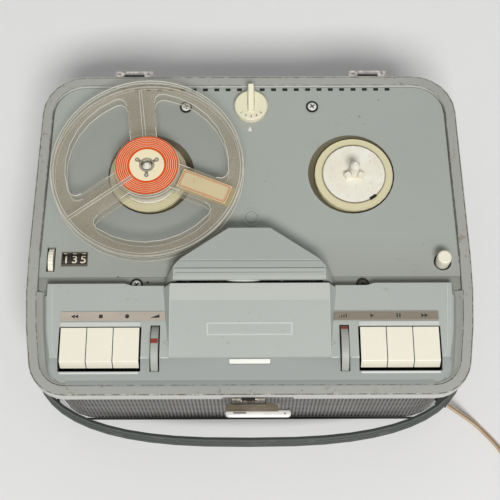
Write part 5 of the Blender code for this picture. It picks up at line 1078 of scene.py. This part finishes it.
def screw(name, spot, base, turn, head):
    """A cross-head screw in a dark ring, its cross turned by an angle in radians; the cross is black as
    painted shade in its slots.
    """
    high = base + 0.0010
    ring = ((0.0050, base), (0.0050, high), (0.0036, high + 0.0001), (0.0036, base))
    Shape().turned(spot, ring, 32, True).made("screw_ring_" + name, "pit_black", soft=35)
    dome = (
        (0.0035, base),
        (0.0035, high),
        (0.0029, high + 0.0004),
        (0.0016, high + 0.0006),
        (0.0002, high + 0.0007),
    )
    Shape().turned(spot, dome, 28).made("screw_head_" + name, head, soft=35)
    cross = Shape()
    arm = [(a * 0.0022, b * 0.00042) for a, b in ((-1, -1), (1, -1), (1, 1), (-1, 1))]
    for quarter in (0, 90):
        cross.prism(swung(spot, math.degrees(turn) + quarter, arm), high, high + 0.00078)
    cross.made("screw_cross_" + name, "pit_black")


# Panel


def plate_height(y):
    return PLATE_FOOT + (y - CREASE_Y) * PLATE_SLOPE


def slope_height(y):
    return PANEL - (CREASE_Y - y) * SLOPE


def panel_details():
    """Lips with painted highlights behind and before the key wells and before the wheels, and black sheets
    that paint the shade in the wells.
    """
    lip = [(-0.0782, -0.0002), (-0.0785, 0.0006), (-0.0817, 0.0002), (-0.0818, -0.0003)]
    ridge = [(-0.1048, -0.0001), (-0.1051, 0.00015), (-0.1056, 0.0001), (-0.1060, -0.0003)]
    lip, ridge = ([(y, PANEL + up) for y, up in profile] for profile in (lip, ridge))
    front = [(-0.1152, 0.0), (-0.1155, 0.0003), (-0.1163, 0.0003), (-0.1166, 0.0)]
    front = [(y, slope_height(y) + up) for y, up in front]
    for side, label in SIDES:
        lips = Shape().bar(lip, side * 0.0812, side * 0.1408).bar(front, side * 0.0820, side * 0.1400)
        lips.bar(ridge, side * 0.0747, side * 0.0806).bar(ridge, side * 0.0600, side * 0.0655)
        lips.made("panel_lips_" + label, "panel_light")
        low, high = sorted((side * 0.0813, side * 0.1407))
        well = Shape().box((low, -0.1128, -0.0095), (high, -0.0900, -0.0085))
        well.made("key_well_shade_" + label, "pit_black")
    panel_bevels()
    # Painted highlights on the raised arrows by the wheels
    arrows = [(-0.0640, -0.0945), (-0.0605, -0.0927), (-0.0605, -0.0963)]
    arrows = arrows, [(0.0639, -0.0950), (0.0603, -0.0932), (0.0603, -0.0968)]
    for (side, label), points in zip(SIDES, arrows):
        outline = [place(x, y, PANEL + 0.0004) for x, y in points]
        Shape().tube(outline, 0.00028, True).made("wheel_arrow_" + label, "panel_light")


def panel_outline():
    """The raised panel's upper edge, as ordered (x, y) points."""
    points = []
    for vert in nodes["control_panel"].data.vertices:
        x, y, up = vert.co.x, vert.co.y - SHIFT_Y, vert.co.z - DECK
        if abs(up - min(PANEL, slope_height(y))) < 0.0002:
            points.append(Vector((x, y)))
    hull = [points[i] for i in convex_hull_2d(points)]
    return [p for i, p in enumerate(hull) if (p - hull[i - 1]).length > 0.0004]


def panel_bevels():
    """The raised panel's rounded shoulders, and fine lines of painted highlight inside them and along the
    middle plate.
    """
    path = panel_outline()
    shapes = ((0.0002, 0.0), (-0.0006, -0.0004), (-0.0030, -0.0030), (-0.0032, -0.0060), (0.0002, -0.0060))
    rows = [inset(path, depth) for depth, up in shapes]
    line = [(0.1491, -0.0490), (0.1484, -0.0610), (0.1473, -0.0770), (0.1458, -0.0956)]
    line += [(0.1449, -0.1005), (0.1436, -0.1034), (0.1415, -0.1050)]
    for side, label in SIDES:
        kept = [i for i, p in enumerate(path) if p.x * side > 0.120 and -0.1195 < p.y < -0.0484]
        sections = []
        for i in sorted(kept, key=lambda i: path[i].y):
            level = min(PANEL, slope_height(path[i].y))
            sections.append([place(*row[i], level + up) for row, (depth, up) in zip(rows, shapes)])
        Shape().loft(sections).made("panel_shoulder_" + label, "panel_grey", soft=50)
        edge = (-0.0540, -0.0700, -0.0900, -0.1040)
        edge = [place(side * 0.0594, y, plate_height(y) - 0.0001) for y in edge]
        fine = Shape().tube([place(side * x, y, PANEL) for x, y in line], 0.00045).tube(edge, 0.00035)
        fine.made("panel_line_" + label, "panel_light", soft=35)


def cover_details():
    """Scored lines across the cover's front, dark with painted shade and with a line of painted highlight
    beside them, and the lobe that a finger lifts it by.
    """
    filled = Shape().box((-0.0505, -0.0345, 0.0205), (0.0505, -0.0331, 0.02103))
    filled.made("cover_filled_line", "panel_grey", "head_cover")
    scored = Shape().box((-0.0530, -0.0356, 0.0209), (0.0530, -0.0352, 0.02104))
    scored.box((-0.0568, -0.0415, 0.0209), (0.0568, -0.0410, 0.02104))
    scored.made("cover_scored_lines", "score_grey", "head_cover")
    light = Shape().box((-0.0528, -0.0350, 0.0209), (0.0528, -0.0346, 0.02106))
    light.made("cover_highlight_line", "panel_light", "head_cover")
    loops = []
    half_turn = [math.radians(15 * k) for k in range(13)]
    for up, grow in ((0.0172, 0.0009), (0.0178, 0.0012), (0.0186, 0.0009), (0.0192, 0.0002)):
        front = [(-0.0045 + 0.0125 * c, -0.0497 - grow * s) for c, s in arc(1, half_turn)]
        loops.append([place(x, y, up) for x, y in ((0.0081, -0.0490), *front, (-0.0171, -0.0490))])
    Shape().loft(loops).made("cover_finger_lobe", "panel_grey", "head_cover", soft=50)


def name_plate():
    """A plain raised blank on the middle plate, its thin pale border a painted highlight."""
    low, high = -0.0894, -0.0808
    loops = []
    for grow, up in ((0.0003, -0.0002), (0.0003, 0.0003), (-0.0004, 0.0003), (-0.0006, 0.0001)):
        x0, x1, y0, y1 = -0.0316 - abs(grow), 0.0312 + abs(grow), low - grow, high + grow
        corners = (x0, y0), (x1, y0), (x1, y1), (x0, y1)
        loops.append([place(x, y, plate_height(y) + up) for x, y in corners])
    Shape().loft(loops).made("blank_plate", "panel_light")
    loop = [(x * 0.975, y) for x, y in ((-0.0316, low), (0.0312, low), (0.0312, high), (-0.0316, high))]
    loop = [(x, y + (0.0008 if y == low else -0.0008)) for x, y in loop]
    loops = [[place(x, y, plate_height(y) + up) for x, y in loop] for up in (0.0000, 0.00014)]
    Shape().loft(loops).made("blank_plate_face", "panel_grey")


def strip_marks():
    """Plain transport symbols over the keys and thumbwheels, and fine lines along the strips."""
    low, high, y = 0.00719, 0.00726, -0.0741
    marks = Shape()
    for x, way in ((-0.1317, -1), (-0.1291, -1), (0.1291, 1), (0.1317, 1), (0.0913, 1)):
        back = x - way * 0.00135
        marks.prism([(back, y - 0.0015), (x + way * 0.00135, y), (back, y + 0.0015)], low, high)
    bars = [(-0.1123, -0.1095, -0.0014, 0.0014)]
    bars += [(x - 0.0005, x + 0.0005, -0.0015, 0.0015) for x in (0.1099, 0.1119)]
    for i in range(4):
        x = 0.0668 + 0.0017 * i
        bars.append((x - 0.0004, x + 0.0004, -0.0014, 0.0007 * i - 0.0006))
    for x0, x1, y0, y1 in bars:
        marks.box((x0, y + y0, low), (x1, y + y1, high))
    marks.prism(circle(0.0016, 20, (-0.0913, y)), low, high)
    marks.prism([(-0.0742, y - 0.0012), (-0.0672, y - 0.0012), (-0.0672, y + 0.0014)], low, high)
    marks.made("strip_symbols", "print_dark")
    lines = Shape()
    for side, _ in SIDES:
        x0, x1 = sorted((side * 0.0628, side * 0.1406))
        for at in (-0.0706, -0.0776):
            lines.box((x0, at - 0.00012, low), (x1, at + 0.00012, high))
    lines.made("strip_lines", "rim_light")


# Wheels, counter, knob and button


def wheel_marks():
    axle, top, reach, half = (-0.0971, -0.0068), 0.02012, 0.0192, 0.00255
    for label, x, middle in (("level", -0.0701, 7.5), ("tone", 0.0701, 43.0)):
        loops = []
        for k in range(7):
            angle = math.radians(middle - 5 + 10 * k / 6)
            corners = ((x - half, reach), (x - half, top), (x + half, top), (x + half, reach))
            loops.append([rolled(at, axle, far, angle) for at, far in corners])
        Shape().loft(loops).made("wheel_mark_" + label, "print_red", label + "_wheel")


def counter_details():
    """Digits wrapped round each drum, with the photographed ones on top, in a dark frame with ticks."""
    radius, spacing = 0.00704, 60
    drums = ("drum_hundreds", -0.1411, 1), ("drum_tens", -0.1345, 3), ("drum_units", -0.1279, 5)
    for body, x, shown in drums:
        digits = Shape()
        for step in range(6):
            one = letters(str((shown + step) % 10), 0.0094, 0.00010)
            for k in range(-4, 5):
                geometry = one.verts[:] + one.edges[:] + one.faces[:]
                bmesh.ops.bisect_plane(one, geom=geometry, plane_co=(0, k * 0.0006, 0), plane_no=(0, 1, 0))
            for vert in one.verts:
                angle = vert.co.y * 0.92 / radius - math.radians(spacing * step)
                vert.co = rolled(x + vert.co.x * 1.05, (-0.0264, -0.0076), radius + vert.co.z, angle)
            digits.take(one)
        digits.made("digits_" + body, "digit_cream", body)
    bezel, low = Shape(), -0.0015
    for y0, y1 in ((-0.0213, -0.0204), (-0.0321, -0.0303)):
        bezel.box((-0.1447, y0, low), (-0.1243, y1, 0.0002))
    for x0, x1 in ((-0.1447, -0.1441), (-0.1249, -0.1243)):
        bezel.box((x0, -0.0321, low), (x1, -0.0204, 0.0001))
    bezel.made("counter_bezel", "frame_brown")
    dividers = Shape().box((-0.1382, -0.0303, low), (-0.1375, -0.0213, 0.0001))
    dividers.box((-0.1316, -0.0303, low), (-0.1309, -0.0213, 0.0001)).made("counter_dividers", "print_dark")
    ticks = Shape()
    for x in (-0.1417, -0.1345, -0.1273):
        ticks.box((x - 0.0012, -0.0219, 0.0000), (x + 0.0012, -0.0215, 0.00012))
    ticks.made("counter_ticks", "digit_cream")


def knob_details():
    numbers = Shape()
    for i in range(5):
        angle = math.radians(-138 + 24 * i)
        one = letters(str(i + 1), 0.0028, 0.00005)
        spot = place(*arc(0.0106, [angle], KNOB)[0], 0.00652)
        spin = Matrix.Rotation(angle + math.pi / 2, 4, "Z")
        bmesh.ops.transform(one, matrix=Matrix.Translation(spot) @ spin, verts=one.verts)
        numbers.take(one)
    numbers.made("knob_numbers", "print_dark", "selector_knob")
    # A dark line of dirt and painted shade round the knob's foot
    foot = Shape().ring(KNOB, 0.01350, 0.0012, 0.00020, 60)
    foot.made("knob_foot_line", "grime_soft", "selector_knob", 35)


def button_details():
    ribs = Shape()
    rib = ((0.0052, -0.0002), (0.0056, -0.0001), (0.0056, 0.0001), (0.0052, 0.0002))
    for i in range(36):
        ribs.prism(swung(BUTTON, 10 * i, rib), 0.0062, 0.0086)
    ribs.made("button_ribs", "knob_cream", "push_button")
    Shape().ring(BUTTON, 0.0040, 0.01203, 0.00018, 40).made("button_ring", "knob_cream", "push_button", 35)
    # A black ring in the hole round the button, painting the shade there
    hole = ((0.0068, -0.0030), (0.0068, -0.0006), (0.0060, -0.0006), (0.0060, -0.0030))
    Shape().turned(BUTTON, hole, 32, True).made("button_hole_shade", "pit_black")


# Reel and turntables


def reel_edges():
    """Painted highlights along the moulded edges of both flanges and of the upper one's spokes."""
    edges = Shape()
    middle = place(*SUPPLY, 0).xy
    for name, up in (("reel_upper_flange", UPPER_FLANGE), ("reel_lower_flange", LOWER_FLANGE)):
        for loop in sharp_loops(nodes[name], up):
            if max((p.xy - middle).length for p in loop) > HUB_REACH:
                for run in outer_runs(loop):
                    edges.tube(run, 0.00028)
        edges.ring(SUPPLY, 0.0731, up, 0.00024, 120).ring(SUPPLY, 0.0755, up - 0.0009, 0.00030, 120)
    for degrees in SPOKES:
        for across in (-SPOKE_HALF, SPOKE_HALF):
            ends = swung(SUPPLY, degrees, ((0.0320, across), (0.0232, across)))
            edges.tube([place(*end, UPPER_FLANGE) for end in ends], 0.00028)
    edges.made("reel_edges", "edge_plastic", "reel", 80)


def outer_runs(loop):
    """The parts of a flange's edge that lie away from its hub."""
    middle = place(*SUPPLY, 0).xy
    far = [(p.xy - middle).length > HUB_REACH for p in loop]
    if all(far):
        return [loop + loop[:1]]
    start = far.index(False)
    runs, run = [], []
    for i in range(len(loop) + 1):
        k = (start + i) % len(loop)
        if far[k]:
            run.append(loop[k])
            continue
        if len(run) > 1:
            runs.append(run)
        run = []
    return runs


def reel_details():
    """Rings round the hub, and the raised bars that guide the tape's end; the rings and the bars' edges are
    pale with painted highlights.
    """
    rings = Shape()
    for up, reach in ((0.0086, 0.0254), (0.0112, 0.0250), (0.0138, 0.0254), (0.0168, 0.0250)):
        rings.ring(SUPPLY, reach, up, 0.00055)
    rings.made("reel_hub_rings", "hub_plastic", "reel", 80)
    guide = Shape()
    for a, b in (((-0.0887, 0.1119), (-0.0839, 0.0697)), ((-0.0868, 0.1119), (-0.0815, 0.0697))):
        guide.tube([place(*a, 0.0176), place(*b, 0.0176)], 0.00022)
    start, end = Vector((-0.0912, 0.0351)), Vector((-0.1387, 0.0004))
    along = (end - start).normalized()
    across = Vector((-along.y, along.x)) * 0.0013
    for side in (-across, across):
        guide.tube([place(*(start + side), LABEL), place(*(end + side), LABEL)], 0.00024)
    guide.made("reel_tape_guide", "edge_plastic", "reel", 35)
    web = [start - across, end - across, end + across, start + across]
    Shape().prism(web, LABEL - LAYER, LABEL).made("reel_tape_guide_web", "tape_clear", "reel")


def slot_details():
    """The middle of the reel: a cream disc, a ring and three short arms with round ends dark with painted
    shade, and painted glints on them.
    """
    low = LABEL - LAYER
    disc = ((0.0058, low), (0.0058, LABEL), (0.0134, LABEL), (0.0136, low))
    Shape().turned(SUPPLY, disc, 64, True).made("reel_middle", "middle_cream", "reel")
    ring = ((0.0046, 0.0170), (0.0046, 0.0185), (0.0060, 0.01855), (0.0060, 0.0170))
    arms = Shape().turned(SUPPLY, ring, 40, True)
    glints = Shape().ring(SUPPLY, 0.0053, 0.01855, 0.00022, 40)
    end = arc(0.0018, [math.radians(28 * k - 140) for k in range(11)], (0.0088, 0))
    for degrees in (30, 150, 270):
        plan = swung(SUPPLY, degrees, ((0.0057, -0.0012), *end, (0.0057, 0.0012)))
        arms.prism(plan, LABEL, LABEL + 0.00012)
        spot = swung(SUPPLY, degrees, [(0.0088, 0)])[0]
        glints.turned(spot, ((0.0009, 0.0185), (0.0009, 0.01862), (0.0005, 0.0187)), 14)
    arms.made("reel_slot_arms", "lobe_brown", "reel", 35)
    glints.made("reel_slot_glints", "hub_plastic", "reel", 35)


def paper_details():
    """The paper label's double border, and the yellowed tape that holds it."""
    degrees, middle, cut = -22, 0.0488, 0.0012
    border = Shape()
    for margin, width in ((0.0008, 0.00045), (0.0018, 0.00025)):
        loops = []
        for grow, up in ((0, 0.01819), (0, 0.01824), (-width, 0.01824), (-width, 0.01819)):
            a, b = 0.0203 - margin + grow, 0.00785 - margin + grow
            plan = [(-a, cut - b), (cut - a, -b), (a - cut, -b), (a, cut - b)]
            plan += [(-x, -y) for x, y in plan]
            plan = swung(SUPPLY, degrees, [(middle + x, y) for x, y in plan])
            loops.append([place(*p, up) for p in plan])
        border.loft(loops, closed=True)
    border.made("paper_border", "border_red", "reel")
    tape = Shape()
    end = ((0.0202, -0.0092), (0.0242, -0.0088), (0.0246, 0.0070), (0.0202, 0.0078))
    edge = ((-0.0150, -0.0098), (0.0202, -0.0092), (0.0202, -0.0078), (-0.0150, -0.0078))
    for plan in (end, edge):
        tape.prism(swung(SUPPLY, degrees, [(middle + x, y) for x, y in plan]), 0.01755, 0.0177)
    tape.made("paper_tape", "tape_yellow", "reel")


def table_details():
    # A dark line painting the shade in the gap round the take-up disc
    profile = ((0.02535, -0.0030), (0.02535, -0.0008), (0.0250, 0.0005), (0.0248, 0.00052), (0.0248, -0.0030))
    Shape().turned(TAKEUP, profile, 72, True).made("takeup_disc_line", "lobe_brown", "takeup_table", 35)
    # A black notch painting the shade in the disc's slot
    loops = []
    for k in range(6):
        angle = math.radians(-62 + 14 * k / 5)
        corners = ((0.0236, 0.0004), (0.0236, 0.00056), (0.0262, 0.00056), (0.0262, 0.0004))
        loops.append([place(*arc(reach, [angle], TAKEUP)[0], up) for reach, up in corners])
    Shape().loft(loops).made("takeup_disc_notch", "pit_black", "takeup_table")
    for side, spot in (("supply", SUPPLY), ("takeup", TAKEUP)):
        beads = Shape().ring(spot, 0.0306, -0.00088, 0.00035, 96).ring(spot, 0.0258, -0.00088, 0.00022, 96)
        beads.made(side + "_table_beads", "cream_aged", side + "_table", 35)


# Latch, hinges and grille


def latch_details():
    # Black slots painting the shade in the latch's openings
    slot = Shape().box((-0.0062, -0.1344, -0.0064), (0.0038, -0.1325, -0.0058))
    slot.box((-0.0133, -0.1374, -0.0066), (0.0113, -0.13655, -0.0058))
    for x in (-0.0136, 0.0113):
        slot.box((x, -0.1372, -0.0070), (x + 0.0004, -0.1330, -0.0058))
    slot.made("latch_slot", "pit_black")
    latch_cap()
    marks = Shape().turned((0.0262, -0.1388), ((0.0006, -0.0296), (0.0006, -0.0293)), 12)
    marks.box((-0.0160, -0.13645, -0.0296), (0.0285, -0.13605, -0.0290))
    marks.box((-0.0125, -0.1388, -0.0296), (-0.0030, -0.1379, -0.0293))
    marks.made("latch_lip_marks", "print_dark", "latch_lever")
    # A thin brown face over the lever, painted with its plating's brown reflection
    plan = (-0.0176, 0.35), (-0.0155, 0.1), (-0.0125, 0.0), (0.0115, 0.0), (0.0208, 0.3)
    plan += (0.0213, 1.0), (-0.0179, 1.0)
    loops = [[place(x, y - 0.0018 * s, -0.0070 - 0.0226 * s) for x, s in plan] for y in (-0.1352, -0.1355)]
    Shape().loft(loops).made("latch_reflection_face", "plate_brown", "latch_lever")


def latch_cap():
    """The lip, bright with a painted highlight: a bar with round ends, its upper edge drawn in."""
    x, y, half, radius = 0.0062, -0.1386, 0.0246, 0.0026
    cap = Shape()
    for low, high, shrink in ((-0.0322, -0.0300, 0.0), (-0.0300, -0.0294, 0.0006)):
        loops = []
        for up, less in ((low, 0.0), (high, shrink)):
            wide, deep = 1 - less / half, 1 - less / radius
            plan = []
            for end, start in ((1, -90), (-1, 90)):
                turns = [math.radians(start + 180 * k / 8) for k in range(9)]
                plan += arc(radius, turns, (end * (half - radius), 0))
            loops.append([place(x + a * wide, y + b * deep, up) for a, b in plan])
        cap.loft(loops)
    cap.made("latch_lip_cap", "lip_bright", "latch_lever", 50)


def hinge_details():
    # Black slots painting the shade inside the hinges
    slots, rivets = Shape(), Shape()
    for x in HINGES:
        slots.box((x - 0.0084, 0.1331, 0.0008), (x + 0.0084, 0.1350, 0.00104))
        for side, _ in SIDES:
            x0, x1 = sorted((x + side * 0.0084, x + side * 0.0146))
            slots.box((x0, 0.1325, 0.0008), (x1, 0.1331, 0.00104))
            dome = ((0.0012, 0.0009), (0.0012, 0.0012), (0.0007, 0.0014))
            rivets.turned((x + side * 0.0120, 0.1356), dome, 16)
    slots.made("hinge_slots", "pit_black")
    rivets.made("hinge_rivets", "steel", soft=35)


def grille_details():
    """A black line under the grille: painted shade where the case meets the floor."""
    foot = [(0.0048, -0.1016), (0.0048, -0.1000), (0.0056, -0.0995), (0.0066, -0.1016)]
    moulding("grille_contact_shadow", case_outline(), foot, "pit_black", over_grille)


# The CAD's own pieces

SOFT_EDGES = {
    "control_panel": 0.0007,
    "head_cover": 0.0010,
    "rim_frame": 0.0004,
    "selector_knob": 0.0006,
    "push_button": 0.0004,
    "latch_bracket": 0.0002,
    "latch_lever": 0.0004,
    "rear_hinge_left": 0.0004,
    "rear_hinge_right": 0.0004,
    "mains_plug": 0.0010,
    "reel_upper_flange": 0.0003,
    "reel_lower_flange": 0.0003,
}
KEY_EDGE = 0.0005
NODE_LOOKS = {
    "supply_turntable": "cream_aged",
    "takeup_turntable": "cream_aged",
    "selector_knob": "knob_cream",
    # The latch lever and the hinges take looks with painted reflections
    "latch_lever": "chrome_bright",
    "rear_hinge_left": "hinge_highlight",
    "rear_hinge_right": "hinge_highlight",
}


def crisp_edges(data, degrees=32):
    """Marks the edges of an unwelded mesh that stay sharp once its corners are joined."""
    bm = bmesh.new()
    bm.from_mesh(data)
    bmesh.ops.remove_doubles(bm, verts=bm.verts, dist=WELD)
    soft = set()
    for edge in bm.edges:
        if len(edge.link_faces) == 2 and edge.calc_face_angle(math.pi) < math.radians(degrees):
            soft.add(spot_key(*(vert.co for vert in edge.verts)))
    bm.free()
    marks = data.attributes.get("sharp_edge") or data.attributes.new("sharp_edge", "BOOLEAN", "EDGE")
    for edge in data.edges:
        marks.data[edge.index].value = spot_key(*(data.vertices[i].co for i in edge.vertices)) not in soft


def spot_key(a, b):
    """The middle of an edge, rounded."""
    return tuple(round(c / WELD / 2) for c in (a + b) / 2)


def finish_node(node, width):
    """Joins the corners, then shades curves smooth, with small rounded edges where a width is given."""
    data = node.data
    if "custom_normal" in data.attributes:
        data.attributes.remove(data.attributes["custom_normal"])
    data.shade_smooth()
    if not width:
        crisp_edges(data)
    elif "sharp_edge" in data.attributes:
        data.attributes.remove(data.attributes["sharp_edge"])
    node.modifiers.new("join_corners", "WELD").merge_threshold = WELD
    if width:
        flat = node.modifiers.new("join_faces", "DECIMATE")
        flat.decimate_type = "DISSOLVE"
        flat.angle_limit = math.radians(0.6)
        soft = node.modifiers.new("soft_edges", "BEVEL")
        soft.width, soft.segments = width, 2
        soft.limit_method, soft.angle_limit = "ANGLE", math.radians(35)
        node.modifiers.new("even_shading", "WEIGHTED_NORMAL").weight = 80


def dress_nodes():
    """Every CAD node takes its slot's material, smooth curves and, where it helps, soft edges."""
    slots = {part["node"]: part["material_slot"] for part in frame["record"]["subparts"]}
    for name, node in nodes.items():
        node.data.materials.clear()
        node.data.materials.append(looks[NODE_LOOKS.get(name, slots[name])])
        key = name.startswith("key_") and name != "key_shaft"
        finish_node(node, KEY_EDGE if key else SOFT_EDGES.get(name, 0))


make_looks()
camera()
cord()
dress_nodes()
case_details()
deck_details()
panel_details()
name_plate()
strip_marks()
cover_details()
wheel_marks()
counter_details()
knob_details()
button_details()
reel_edges()
reel_details()
slot_details()
paper_details()
table_details()
latch_details()
hinge_details()
grille_details()
lights()
floor()
bpy.context.scene.view_settings.view_transform = "Standard"
